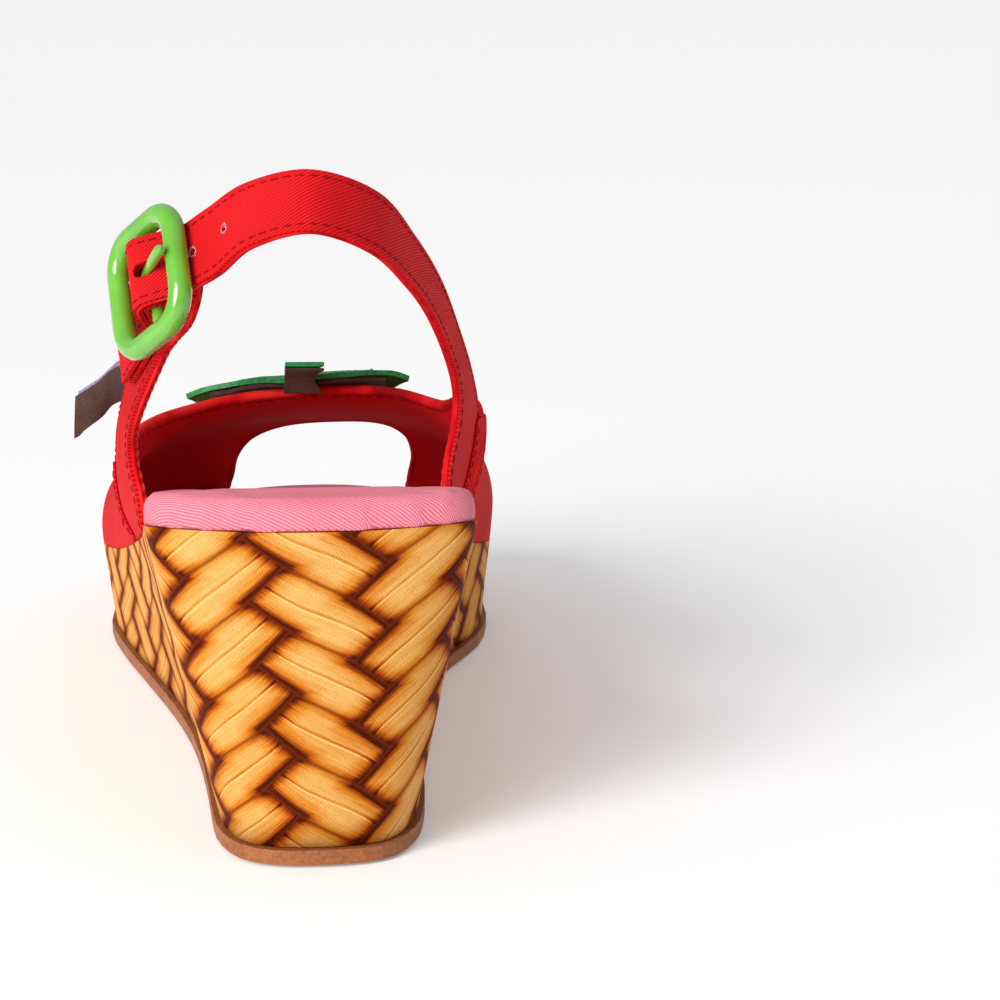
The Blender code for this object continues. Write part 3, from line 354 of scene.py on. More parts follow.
def twill(name, base, rib, shade, pitch, angle, rough=0.72, sheen=0.25, depth=0.00012):
    """Twill cloth: fine diagonal ribs, crossing threads and mottled colour."""
    s = Shader(name)
    u, v = s.uv()
    cosine, sine = math.cos(math.radians(angle)), math.sin(math.radians(angle))
    drift = (s.noise(s.position(), 90.0, 2.0) - 0.5) * 0.5
    across = u * cosine + v * sine + drift
    along = v * cosine - u * sine
    ribs = s.calc("SINE", across * (2 * math.pi / pitch))
    threads = s.calc("SINE", along * (2 * math.pi / (0.8 * pitch)) + across * (math.pi / pitch))
    weave = ribs * 0.36 + threads * 0.14
    lint = s.noise(s.position(), 2600.0, 2.0)
    level = weave + 0.5 + (lint - 0.5) * 0.35
    colour = s.ramp(level, ((0.0, shade), (0.42, base), (0.98, rib)))
    worn = s.noise(s.position(), 55.0, 3.0)
    colour = s.mix(s.step(worn, 0.3, 0.75, 0.0, 0.28), colour, shade)
    s.bump(level, depth)
    return s.finish(colour, s.step(lint, 0.2, 0.8, rough - 0.05, rough + 0.08),
                    Sheen_Weight=sheen, Sheen_Roughness=0.5, Sheen_Tint=(*rib, 1.0),
                    Specular_IOR_Level=0.14)


WICKER_COLUMN = 17.8            # width of one column of strands, mm
WICKER_PERIOD = 13.0            # height of one strand along its column
WICKER_REACH = 3.3              # half width of the zigzag between two columns
WICKER_BEND = (0.66, 0.0012)    # a strand's slope and how it steepens
WICKER_SHEAR = 0.1              # how far the rows tilt round the heel
WICKER_CENTRE = 2.6             # where the pattern starts round the heel, and up it
WICKER_RISE = -7.4
WICKER_WANDER = 1.2             # how far the strands stray, mm
BURNT = (0.0, 7.4, 0.36)        # from and to what distance a strand's ends are burnt, and how much
SCORCHED = (-0.3, 3.2, 0.3)     # the same for the darkest part of those ends
SHADED = (0.0, 2.4, 0.28)       # the same for the shade along a strand's long edges
CLOTH_PITCH = 0.62              # thread spacing of the printed cloth


def strand_rise(local):
    """How far a strand climbs between its column's middle and a distance off it."""
    return WICKER_BEND[0] * local + WICKER_BEND[1] * local ** 3


def wicker_print(name):
    """Woven cloth printed with a herringbone of split-cane strands."""
    s = Shader(name)
    u, v = s.uv()
    width = WICKER_COLUMN
    period = WICKER_PERIOD
    reach = WICKER_REACH
    vertex = strand_rise(width / 2 - reach) / period
    v -= u * WICKER_SHEAR
    wander = s.noise(s.position(), 60.0, 2.0)
    v += (wander - 0.5) * WICKER_WANDER
    column = s.calc("FLOOR", u / width)
    odd = s.calc("PINGPONG", column, 1.0)
    beside = u - (column + 0.5) * width
    # The boundary between two columns zigzags along the strands' own edges.
    even_start = (v / period + vertex) * 2.0
    odd_start = (v / period - vertex) * 2.0
    even_zigzag = s.calc("PINGPONG", even_start, 1.0) * (2 * reach) - reach
    odd_zigzag = reach - s.calc("PINGPONG", odd_start, 1.0) * (2 * reach)
    zigzag = odd * odd_zigzag + (1.0 - odd) * even_zigzag
    past = s.calc("GREATER_THAN", beside, zigzag)
    edge = s.calc("ABSOLUTE", beside - zigzag)
    strand_column = column + past
    odd_strand = s.calc("PINGPONG", strand_column, 1.0)
    local = u - strand_column * width
    lean = 1.0 - odd_strand * 2.0
    # Strands are S-curved: steeper towards both ends.
    cube = local * (local * local)
    rise = local * WICKER_BEND[0] + cube * WICKER_BEND[1]
    place = (v + lean * rise) / period - odd_strand * 0.5
    number = s.calc("FLOOR", place)
    part = place - number
    # Distance in millimetres from the strand's two long edges and its centre line.
    thick = period * math.cos(math.atan(WICKER_BEND[0]))
    side = s.calc("PINGPONG", part, 0.5) * thick
    sway = s.calc("SINE", local * 0.25) * 0.02
    middle = (part - (sway + 0.5)) * thick
    strand_id = s.join(strand_column, number, 3.7)
    tone = s.node("ShaderNodeTexWhiteNoise", noise_dimensions="3D")
    s.put(tone.inputs["Vector"], strand_id)
    tone = Value(s, tone.outputs["Value"])
    # Long fibres run with the strand; each strand has its own.
    fibre_place = s.join(local * 0.05 + tone * 40.0, part * 6.0, number * 1.3)
    fibre = s.noise(fibre_place, 3.0, 3.0, 0.5)
    streaks = s.noise(s.join(local * 0.09, part * 22.0, number * 2.1), 1.6, 3.0, 0.6)
    burn_noise = s.noise(s.position(), 500.0, 3.0, 0.7)
    jagged = (burn_noise - 0.5) * 1.4 + (streaks - 0.5) * 4.4
    burnt = 1.0 - s.step(edge + jagged, *BURNT[:2])
    scorched = 1.0 - s.step(edge + jagged * 0.35, *SCORCHED[:2])
    shaded = 1.0 - s.step(side + jagged * 0.1, *SHADED[:2])
    gap = s.calc("MAXIMUM", 1.0 - s.step(side, 0.02, 0.62), 1.0 - s.step(edge, 0.0, 0.6))
    bright = 1.0 - s.step(s.calc("ABSOLUTE", middle + 0.16), 0.04, 0.24)
    groove = 1.0 - s.step(s.calc("ABSOLUTE", middle - 0.26), 0.08, 0.5)
    level = 0.7 + (fibre - 0.5) * 0.38
    level += (tone - 0.5) * 0.12
    level -= burnt * BURNT[2]
    level -= scorched * SCORCHED[2]
    level -= shaded * SHADED[2]
    level -= groove * 0.24
    level += bright * (0.35 * s.step(edge, 0.5, 4.0))
    colour = s.ramp(level, (
        (0.0, srgb(76, 20, 0)), (0.14, srgb(132, 52, 2)), (0.3, srgb(182, 92, 14)),
        (0.46, srgb(212, 132, 38)), (0.66, srgb(230, 170, 88)), (0.95, srgb(244, 204, 134))))
    colour = s.mix(gap * 0.7, colour, srgb(112, 40, 4))
    warp = s.calc("SINE", (u + v * 0.35) * (2 * math.pi / CLOTH_PITCH))
    weft = s.calc("SINE", (v - u * 0.12) * (2 * math.pi / CLOTH_PITCH))
    cloth = warp * weft * 0.5 + 0.5
    speckle = s.noise(s.position(), 3400.0, 2.0)
    grain = cloth * 0.45 + speckle * 0.55
    colour = s.mix(0.9, colour, s.ramp(grain, ((0.25, (0.62, 0.5, 0.4)), (0.7, (1.0, 1.0, 1.0)))),
                   "MULTIPLY")
    s.bump(grain, 0.00009, 0.8)
    return s.finish(colour, s.step(speckle, 0.2, 0.8, 0.55, 0.7), Specular_IOR_Level=0.06)


def grained(name, base, dark, scale, rough, depth, **constants):
    """Leather, rubber or board: pebbled grain with mottled colour."""
    s = Shader(name)
    cells = s.node("ShaderNodeTexVoronoi", feature="F1")
    s.put(cells.inputs["Vector"], s.position())
    cells.inputs["Scale"].default_value = scale
    pebble = Value(s, cells.outputs["Distance"])
    mottle = s.noise(s.position(), scale * 0.12, 4.0, 0.6)
    fine = s.noise(s.position(), scale * 2.5, 2.0)
    level = pebble * 0.45 + (mottle * 0.45 + fine * 0.25)
    colour = s.ramp(level, ((0.25, base), (0.75, dark)))
    s.bump(1.0 - (pebble + fine * 0.4), depth, 0.6)
    return s.finish(colour, s.step(mottle, 0.3, 0.7, rough - 0.06, rough + 0.08), **constants)


def enamel(name):
    """Glossy enamel with a faint orange peel and slightly uneven colour."""
    s = Shader(name)
    flow = s.noise(s.position(), 120.0, 2.0)
    colour = s.ramp(flow, ((0.3, srgb(90, 163, 38)), (0.7, srgb(104, 179, 48))))
    peel = s.noise(s.position(), 700.0, 1.0)
    s.bump(peel, 0.00004, 0.35)
    return s.finish(colour, s.step(flow, 0.3, 0.7, 0.14, 0.2), Coat_Weight=1.0,
                    Coat_Roughness=0.03, Specular_IOR_Level=0.5)


def thread(name, base, dark):
    """Sewing thread: two plies with fuzz."""
    s = Shader(name)
    ply = s.noise(s.position(), 4200.0, 2.0)
    colour = s.ramp(ply, ((0.3, dark), (0.65, base)))
    s.bump(ply, 0.00005, 0.6)
    return s.finish(colour, s.step(ply, 0.2, 0.8, 0.6, 0.8), Specular_IOR_Level=0.15)


def brushed(name, base, dark):
    """Plain metal with drawn streaks."""
    s = Shader(name)
    streak = s.noise(s.position(), 900.0, 3.0, 0.7)
    colour = s.ramp(streak, ((0.3, dark), (0.7, base)))
    s.bump(streak, 0.00003, 0.4)
    return s.finish(colour, s.step(streak, 0.2, 0.8, 0.3, 0.45), Metallic=1.0)


RED = srgb(212, 6, 16)
RED_LIGHT = srgb(234, 34, 38)
RED_DARK = srgb(140, 0, 8)
MATERIALS = {
    "red": twill("strap_twill", RED, RED_LIGHT, RED_DARK, 0.62, 58.0, sheen=0.15),
    "vamp": twill("vamp_twill", RED, RED_LIGHT, RED_DARK, 0.62, 40.0, sheen=0.12),
    # The lining's red is painted lighter than the cloth's own: painted light that lifts the shade
    # inside the upper.
    "lining": twill("lining_cloth", srgb(238, 4, 24), srgb(250, 22, 38), srgb(180, 0, 14),
                    0.55, 20.0, rough=0.8, sheen=0.05, depth=0.00006),
    "edge": twill("edge_binding", srgb(214, 12, 20), srgb(240, 52, 44), srgb(130, 2, 8),
                  0.5, 80.0, rough=0.8, sheen=0.1),
    "pink": twill("footbed_twill", srgb(230, 124, 140), srgb(244, 164, 176),
                  srgb(208, 84, 108), 0.64, 62.0, rough=0.78, sheen=0.2, depth=0.00012),
    "wicker": wicker_print("wicker_print_cloth"),
    "enamel": enamel("green_gloss_enamel"),
    "leaf": grained("leaf_leather", srgb(22, 148, 66), srgb(6, 92, 36), 900.0, 0.5, 0.0001,
                    Specular_IOR_Level=0.4),
    "suede": grained("brown_suede", srgb(80, 40, 24), srgb(46, 20, 11), 1900.0, 0.92, 0.0001,
                     Sheen_Weight=0.15),
    "lilac": grained("lilac_leather", srgb(166, 150, 178), srgb(120, 106, 140), 1100.0, 0.6,
                     0.00008),
    "violet": grained("violet_core", srgb(98, 84, 130), srgb(66, 54, 96), 1500.0, 0.85, 0.00006),
    "rubber": grained("tan_rubber", srgb(170, 102, 50), srgb(136, 74, 34), 1300.0, 0.58, 0.00008),
    "core": grained("moulded_core", srgb(216, 208, 190), srgb(190, 180, 160), 600.0, 0.7, 0.0001),
    "board": grained("fibre_board", srgb(168, 148, 120), srgb(124, 104, 78), 800.0, 0.9, 0.0001),
    "steel": brushed("drawn_steel", (0.62, 0.62, 0.64), (0.42, 0.42, 0.44)),
    "rivet": brushed("rivet_steel", (0.66, 0.58, 0.42), (0.44, 0.38, 0.28)),
    "dark_thread": thread("dark_red_thread", srgb(150, 2, 14), srgb(112, 0, 8)),
    "pale_thread": thread("pale_thread", srgb(214, 176, 176), srgb(166, 110, 112)),
    "red_thread": thread("red_thread", srgb(206, 16, 24), srgb(140, 4, 12)),
}


# ------------------------------------------------------------ mesh helpers
def new_object(name, data):
    """An object in the scene with a mesh, lamp or camera."""
    obj = bpy.data.objects.new(name, data)
    bpy.context.collection.objects.link(obj)
    return obj


def set_uvs(mesh, uvs):
    """Write a mesh's UV map from one (u, v) in millimetres per point."""
    layer = mesh.uv_layers[0] if mesh.uv_layers else mesh.uv_layers.new(name="UVMap")
    index = np.empty(len(mesh.loops), int)
    mesh.loops.foreach_get("vertex_index", index)
    layer.data.foreach_set("uv", (np.asarray(uvs)[index] * MM).astype(np.float32).ravel())


def make_piece(name, points, faces, mat, uvs=None, smooth_angle=45.0, bevel=0.0):
    """A mesh piece in metres; uvs holds one (u, v) in millimetres per point."""
    mesh = bpy.data.meshes.new(name)
    mesh.from_pydata([tuple(np.asarray(p) * MM) for p in points], [], faces)
    if uvs is not None:
        set_uvs(mesh, uvs)
    bm = bmesh.new()
    bm.from_mesh(mesh)
    bmesh.ops.recalc_face_normals(bm, faces=bm.faces)
    bm.to_mesh(mesh)
    bm.free()
    mesh.shade_smooth()
    mesh.set_sharp_from_angle(angle=math.radians(smooth_angle))
    mesh.materials.append(MATERIALS[mat])
    obj = new_object(name, mesh)
    if bevel:
        mod = obj.modifiers.new("rolled_edges", "BEVEL")
        mod.width = bevel * MM
        mod.segments = 3
        mod.limit_method = "ANGLE"
        mod.angle_limit = math.radians(50.0)
        mod.harden_normals = True
    return obj


def settle(obj, body, slot, *nodes):
    """Hook a finished piece to its body and hide the CAD nodes that it replaces. The slot is not
    used.
    """
    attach(obj, body)
    if nodes:
        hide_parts(*nodes)
    return obj


def grid_normals(grid):
    """A direction square to a grid at each of its points."""
    return units(np.cross(np.gradient(grid, axis=0), np.gradient(grid, axis=1)))


def grid_uv(grid):
    """Distances along rows and columns of a grid, in millimetres."""
    du = np.linalg.norm(np.diff(grid, axis=0), axis=2)
    dv = np.linalg.norm(np.diff(grid, axis=1), axis=2)
    u = np.concatenate((np.zeros((1, grid.shape[1])), np.cumsum(du, axis=0)))
    v = np.concatenate((np.zeros((grid.shape[0], 1)), np.cumsum(dv, axis=1)), axis=1)
    u = np.repeat(u[:, grid.shape[1] // 2:grid.shape[1] // 2 + 1], grid.shape[1], axis=1)
    return np.stack((u, v), axis=2)


def bake(obj):
    """Apply an object's modifiers and return its new mesh."""
    made = bpy.data.meshes.new_from_object(
        obj.evaluated_get(bpy.context.evaluated_depsgraph_get()))
    obj.modifiers.clear()
    old = obj.data
    obj.data = made
    bpy.data.meshes.remove(old)
    made.name = obj.name
    return made


def grid_normals_facing(grid, row, column, axis, sign):
    """A grid's normals, turned so that the one at a place points along an axis."""
    normals = grid_normals(grid)
    return normals if normals[row, column][axis] * sign >= 0 else -normals


def between(first, last, columns):
    """A grid whose columns run from one line of points to another."""
    return np.stack([first + (last - first) * s for s in np.linspace(0.0, 1.0, columns)], axis=1)


def widened(rows, steps, columns):
    """A grid between two smooth lines, given as rows of their two points."""
    line = spline([np.concatenate(row) for row in rows], steps).reshape(-1, 2, 3)
    return between(line[:, 0], line[:, 1], columns)


def cloth_sheet(grid, normals, low, high, hole=None, puff=None):
    """Points, faces and uvs of a closed layer between two offsets of a grid."""
    rows, cols = grid.shape[:2]
    cells = {(i, j) for i in range(rows - 1) for j in range(cols - 1)
             if hole is None or not hole(i, j)}
    raised = high if puff is None else high + puff[:, :, None]
    points = np.concatenate(((grid + normals * low).reshape(-1, 3),
                             (grid + normals * raised).reshape(-1, 3)))
    uv = np.tile(grid_uv(grid).reshape(-1, 2), (2, 1))
    shift = rows * cols
    faces = []
    for i, j in sorted(cells):
        a, b, c, d = i * cols + j, (i + 1) * cols + j, (i + 1) * cols + j + 1, i * cols + j + 1
        faces.append((d, c, b, a))
        faces.append((a + shift, b + shift, c + shift, d + shift))
        for beside, (p, q) in (((i, j - 1), (a, b)), ((i + 1, j), (b, c)),
                               ((i, j + 1), (c, d)), ((i - 1, j), (d, a))):
            if beside not in cells:
                faces.append((p, q, q + shift, p + shift))
    used = sorted({k for f in faces for k in f})
    index = {k: n for n, k in enumerate(used)}
    return points[used], [tuple(index[k] for k in f) for f in faces], uv[used]


def net(control, row_steps, column_steps):
    """A smooth grid through a few rows of control points."""
    rows = [spline(row, column_steps) for row in control]
    columns = [spline([row[k] for row in rows], row_steps) for k in range(len(rows[0]))]
    return np.array(columns).transpose(1, 0, 2)


def level(normals, rows):
    """Turn the normals of some rows level, so that a cloth's foot stands upright."""
    for row in rows:
        normals[row, :, 2] = 0.0
        normals[row] = units(normals[row])


def grid_at(grid, row, col):
    """A point of a grid at fractional row and column numbers."""
    row = min(max(row, 0.0), grid.shape[0] - 1.001)
    col = min(max(col, 0.0), grid.shape[1] - 1.001)
    i, j = int(row), int(col)
    a, b = row - i, col - j
    return ((1 - a) * ((1 - b) * grid[i, j] + b * grid[i, j + 1])
            + a * ((1 - b) * grid[i + 1, j] + b * grid[i + 1, j + 1]))


def tube(points, radii, sides=8, frame_up=None, closed=False):
    """Rings of a tube along points."""
    points = np.asarray(points, float)
    radii = np.broadcast_to(radii, len(points))
    if closed:
        tangents = np.roll(points, -1, axis=0) - np.roll(points, 1, axis=0)
    else:
        tangents = np.gradient(points, axis=0)
    tangents = units(tangents)
    side = np.asarray(frame_up if frame_up is not None else
                      ((0, 0, 1) if abs(tangents[0][2]) < 0.8 else (1, 0, 0)), float)
    rings = []
    for p, t, r in zip(points, tangents, radii):
        side = unit(side - t * (side @ t))
        other = np.cross(t, side)
        turns = np.arange(sides) * 2 * math.pi / sides
        rings.append(p + r * (np.cos(turns)[:, None] * side + np.sin(turns)[:, None] * other))
    return np.array(rings)


def ring_faces(ring_count, count, closed=False):
    """Quads between neighbouring rings of points, and from the last to the first if closed."""
    faces = []
    for r in range(ring_count if closed else ring_count - 1):
        s = (r + 1) % ring_count
        for i in range(count):
            j = (i + 1) % count
            faces.append((r * count + i, r * count + j, s * count + j, s * count + i))
    return faces


def loft(rings, closed=False):
    """Points and faces of a tube through rings, with its ends filled unless it is closed."""
    count = len(rings[0])
    points = np.concatenate(rings)
    faces = ring_faces(len(rings), count, closed)
    if not closed:
        faces.append(tuple(reversed(range(count))))
        faces.append(tuple((len(rings) - 1) * count + i for i in range(count)))
    return points, faces


def sheet_piece(name, layer, mat, slot, nodes=(), bevel=0.0, **options):
    """One layer of cloth or leather: layer is a grid, its normals and two offsets."""
    points, faces, uvs = cloth_sheet(*layer, **options)
    return settle(make_piece(name, points, faces, mat, uvs, bevel=bevel), "sandal", slot, *nodes)


def rod_piece(name, path, radii, sides, mat, body="sandal", slot="red_cloth", nodes=(),
              frame_up=None, closed=False):
    """A round bar, binding or rib along a path."""
    points, faces = loft(tube(path, radii, sides, frame_up, closed), closed)
    return settle(make_piece(name, points, faces, mat), body, slot, *nodes)


def add_to(points, faces, rings):
    """Append a lofted tube to a growing list of points and faces."""
    base = len(points)
    ring_points, ring_faces = loft(rings)
    points.extend(ring_points)
    faces += [tuple(base + k for k in f) for f in ring_faces]


LINE_SAMPLES = 80
STITCH_PROFILE = ((0.0, 0.25, -0.22), (0.14, 0.85, 0.08), (0.5, 1.0, 0.16), (0.86, 0.85, 0.08),
                  (1.0, 0.25, -0.22))


def stitches(name, path, normals, mat, length=2.1, pitch=2.6, radius=0.14):
    """A row of stitches sunk at both ends, along a path of points with normals."""
    path = np.asarray(path, float)
    normals = np.asarray(normals, float)
    run = distances_along(path)
    points, faces = [], []
    start = pitch * 0.3
    while start + length < run[-1]:
        rings_at = []
        for share, size, lift in STITCH_PROFILE:
            at = start + share * length
            p = np.array([np.interp(at, run, path[:, k]) for k in range(3)])
            n = unit([np.interp(at, run, normals[:, k]) for k in range(3)])
            rings_at.append((p + n * lift * (radius / 0.2), radius * size))
        rings = tube([p for p, _ in rings_at], [r for _, r in rings_at], 6,
                     normals[min(np.searchsorted(run, start), len(run) - 1)])
        add_to(points, faces, rings)
        start += pitch * (1.0 + RNG.uniform(-0.04, 0.04))
    settle(make_piece(name, points, faces, mat, smooth_angle=80.0), "sandal", "red_cloth")


def lifted(grid, normals, height, places):
    """Points over places (row, column) of a layer, and the directions out of it there."""
    ups = np.array([unit(grid_at(normals, *place)) for place in places])
    return np.array([grid_at(grid, *place) for place in places]) + ups * height, ups


def grid_line(grid, normals, height, col=None, row=None, start=0.0, end=None):
    """A path on a layer at a fixed column or row, lifted along the normals."""
    end = grid.shape[0 if row is None else 1] - 1 if end is None else end
    return lifted(grid, normals, height, [(k, col) if row is None else (row, k)
                                          for k in np.linspace(start, end, LINE_SAMPLES)])


def inside_column(grid, row, distance, from_start=True):
    """The fractional column a distance in from a row's first or last column."""
    line = grid[row] if from_start else grid[row][::-1]
    run = distances_along(line)
    at = float(np.interp(distance, run, np.arange(len(run))))
    return at if from_start else grid.shape[1] - 1 - at


def offset_line(grid, normals, height, distance, from_start=True, start=0, end=None):
    """A path a fixed distance in from the first or last column of a layer."""
    end = grid.shape[0] - 1 if end is None else end
    return lifted(grid, normals, height, [(row, inside_column(grid, row, distance, from_start))
                                          for row in range(start, end + 1)])


# ------------------------------------------------------------ camera and light
def aim(obj, forward, up):
    """Turn an object so that its -Z looks forward and its +Y is up."""
    forward, up = unit(forward), unit(up)
    right = np.cross(forward, up)
    rows = [(right[k], up[k], -forward[k]) for k in range(3)]
    matrix = Matrix(rows).to_4x4()
    matrix.translation = obj.location
    obj.matrix_world = matrix


def add_area(name, place, target, size, power, tall):
    """A soft box that looks at a place: tall is its height for each unit of width."""
    light = bpy.data.lights.new(name, "AREA")
    light.shape = "RECTANGLE"
    light.size = size
    light.size_y = size * tall
    light.energy = power
    obj = new_object(name, light)
    obj.location = place
    forward = np.asarray(target, float) - np.asarray(place, float)
    aim(obj, forward, unit(np.cross(np.cross(forward, (0, 0, 1)), forward)))


CAMERA_PLACE = (0.00513, -0.53585, 0.19614)
CAMERA_TILT = 0.236             # radians below level
CAMERA_TURN = 0.06              # radians towards the medial side
FLOOR_SIZE = 6.0                # metres from the middle to each side


def build_stage():
    """The camera behind the heel, soft studio light and a pale floor."""
    camera = bpy.data.cameras.new("camera")
    camera.lens = 100.0
    camera.sensor_width = 36.0
    obj = new_object("camera", camera)
    obj.location = CAMERA_PLACE
    ahead = np.array((math.sin(CAMERA_TURN), math.cos(CAMERA_TURN), 0.0))
    down = np.array((0.0, 0.0, -1.0))
    cosine, sine = math.cos(CAMERA_TILT), math.sin(CAMERA_TILT)
    aim(obj, ahead * cosine + down * sine, ahead * sine - down * cosine)
    bpy.context.scene.camera = obj

    floor_mat = Shader("pale_floor")
    floor_mat.finish((0.98, 0.98, 0.98), 0.9, Emission_Color=(1.0, 1.0, 1.0, 1.0),
                     Emission_Strength=0.14)
    mesh = bpy.data.meshes.new("floor")
    corners = [(x * FLOOR_SIZE, y * FLOOR_SIZE, 0) for x, y in ((-1, -1), (1, -1), (1, 1), (-1, 1))]
    mesh.from_pydata(corners, [], [(0, 1, 2, 3)])
    mesh.materials.append(floor_mat.mat)
    floor = new_object("floor", mesh)

    world = bpy.data.worlds.new("studio")
    world.use_nodes = True
    background = world.node_tree.nodes["Background"]
    background.inputs["Color"].default_value = (1.0, 1.0, 1.0, 1.0)
    background.inputs["Strength"].default_value = 0.5
    bpy.context.scene.world = world
    sun = bpy.data.lights.new("window", "SUN")
    sun.energy = 2.2
    sun.angle = math.radians(38.0)
    lamp = new_object("window", sun)
    lamp.location = (-0.6, -0.5, 0.7)
    aim(lamp, (0.62, 0.46, -0.68), (0.0, 0.0, 1.0))
    add_area("key", (-0.55, -0.6, 0.42), (-0.03, 0.0, 0.09), 0.26, 3.2, 2.4)
    settings = bpy.context.scene.view_settings
    settings.view_transform = "Standard"
    settings.look = "None"


# ------------------------------------------------------------ sole
LIP_UNDER_PAD = 1.2             # how far the turned-in cloth reaches under the footbed
LIP_HEIGHT = 0.12
WRAP_THICKNESS = 0.8
WRAP_STEPS = 8
STRETCH_SPAN = (28.0, 70.0)     # heights between which the cloth is stretched wider
STRETCH = 0.13
STRETCH_SHIFT = 1.7


def upper_ledge():
    """Width of the ledge beside the footbed, for each point of the feather line."""
    return np.array([UPPER_ROOM * blend(y, *UPPER_START) for _, y in FEATHER_OUTLINE])


def build_wrap():
    """The printed cloth on the wedge, its pattern laid out round the heel."""
    low = raise_outline(inset(TREAD_OUTLINE, OUTSOLE_LIP), lambda x, y: outsole_top(x, y) + GAP)
    high = raise_outline(FEATHER_OUTLINE, seat_height)
    rings = [low + (high - low) * k / WRAP_STEPS for k in range(WRAP_STEPS + 1)]
    # The cloth turns over the edge and runs in under the footbed.
    for share in (0.2, 1.0):
        lip = inset(FEATHER_OUTLINE, (upper_ledge() + LIP_UNDER_PAD) * share)
        rings.append(raise_outline(lip, seat_height) + np.array((0.0, 0.0, LIP_HEIGHT)))
    # Distance round each ring from the heel's middle: medial +, lateral -.
    points, uvs, faces = [], [], []
    count = len(low)
    half = count // 2
    for ring in rings:
        closed = np.concatenate((ring, ring[:1]))
        run = distances_along(closed[:, :2])
        for k in range(count + 1):
            around = run[k] if k <= half else run[k] - run[-1]
            points.append(closed[k])
            uvs.append((around, closed[k][2]))
        points.append(closed[half])
        uvs.append((run[half] - run[-1], closed[half][2]))
    row = count + 2
    for r in range(len(rings) - 1):
        for k in range(count):
            a = count + 1 if k == half else k
            b = (k + 1) % count
            faces.append((r * row + a, r * row + b, (r + 1) * row + b, (r + 1) * row + a))
    uvs = np.array(uvs)
    # The cloth is stretched wider towards the top of the heel.
    high = blend(uvs[:, 1], *STRETCH_SPAN)
    uvs[:, 0] = (uvs[:, 0] - WICKER_CENTRE + STRETCH_SHIFT * high) / (1.0 + STRETCH * high)
    uvs[:, 1] += WICKER_RISE
    wrap = make_piece("wedge_print_cloth", points, faces, "wicker", uvs, smooth_angle=50.0)
    solid = wrap.modifiers.new("cloth_thickness", "SOLIDIFY")
    solid.thickness = WRAP_THICKNESS * MM
    solid.offset = -1.0
    settle(wrap, "sandal", "printed_cloth", "wedge_wrap")


HEM_HEIGHT = 0.16               # the pad's underside, just above the turned-in cloth
HEM_BAND = 1.0                  # points this close to the underside belong to it
HEM_REACH = 1.5                 # of those, points this close to the outline are its edge
HEM_SAMPLES = 12                # points on each stretch of that outline
PAD_SHRINK = 0.25               # the pad starts this much small, and swells
PAD_RADIUS = 3.0
PAD_VOXEL = 2.0
PAD_HELD = 1.6                  # height of the base that the swelling leaves alone
PAD_PRESSURE = 1.2
PAD_SWELL = 0.9                 # the furthest that any point may move
CLOTH_FRAMES = 20
CLOTH_STIFFNESS = 20.0


def cushion(obj, pinned, pressure, limit):
    """Swell a remeshed pad with cloth pressure, then cap how far it moved."""
    before = np.array([v.co[:] for v in obj.data.vertices])
    group = obj.vertex_groups.new(name="held")
    group.add([i for i, co in enumerate(before) if pinned(co)], 1.0, "REPLACE")
    cloth = obj.modifiers.new("cloth", "CLOTH")
    cloth.settings.use_pressure = True
    cloth.settings.uniform_pressure_force = pressure
    cloth.settings.effector_weights.gravity = 0.0
    cloth.settings.vertex_group_mass = "held"
    cloth.settings.quality = 5
    cloth.settings.tension_stiffness = CLOTH_STIFFNESS
    cloth.settings.compression_stiffness = CLOTH_STIFFNESS
    cloth.collision_settings.use_collision = False
    cloth.point_cache.frame_start = 1
    cloth.point_cache.frame_end = CLOTH_FRAMES
    scene = bpy.context.scene
    for number in range(1, CLOTH_FRAMES + 1):
        scene.frame_set(number)
    moved = obj.evaluated_get(bpy.context.evaluated_depsgraph_get())
    after = np.array([v.co[:] for v in moved.data.vertices])
    obj.modifiers.remove(cloth)
    scene.frame_set(1)
    shift = after - before
    far = np.linalg.norm(shift, axis=1, keepdims=True)
    shift *= np.minimum(1.0, limit / np.maximum(far, 1e-9))
    obj.data.vertices.foreach_set("co", (before + shift).astype(np.float32).ravel())
    obj.data.update()


def footbed_top(x, y):
    """Height of the footbed's upper face."""
    foam = FOAM_THICKNESS_HEEL + ((FOAM_THICKNESS_TOE - FOAM_THICKNESS_HEEL)
                                  * blend(y, *FOAM_TAPER))
    return seat_height(x, y) + 3 * GAP + BOARD_THICKNESS + foam + COVER_THICKNESS


def ladder_faces(count, base, flip):
    """Quads from side to side across a closed ring of points."""
    faces = []
    half = count // 2
    for i in range(1, half - 1):
        faces.append((base + i, base + i + 1, base + count - i - 1, base + count - i))
    faces.append((base, base + 1, base + count - 1))
    faces.append((base + half - 1, base + half, base + half + 1))
    return [tuple(reversed(f)) for f in faces] if flip else faces


def tuck_hem(pad, edge):
    """Draw the pad's lowest points onto its base outline, so the hem runs clean."""
    closed = np.concatenate((edge, edge[:1]))
    shares = np.arange(HEM_SAMPLES)[:, None] / HEM_SAMPLES
    line = np.concatenate([a + (b - a) * shares for a, b in zip(closed[:-1], closed[1:])])
    for vertex in pad.data.vertices:
        x, y, z = np.array(vertex.co[:]) / MM
        floor = seat_height(x, y) + HEM_HEIGHT
        if z > floor + HEM_BAND:
            continue
        away = np.hypot(line[:, 0] - x, line[:, 1] - y)
        nearest = int(np.argmin(away))
        if away[nearest] < HEM_REACH:
            x, y = line[nearest]
            floor = seat_height(x, y) + HEM_HEIGHT
        vertex.co = np.array((x, y, floor)) * MM
    pad.data.update()


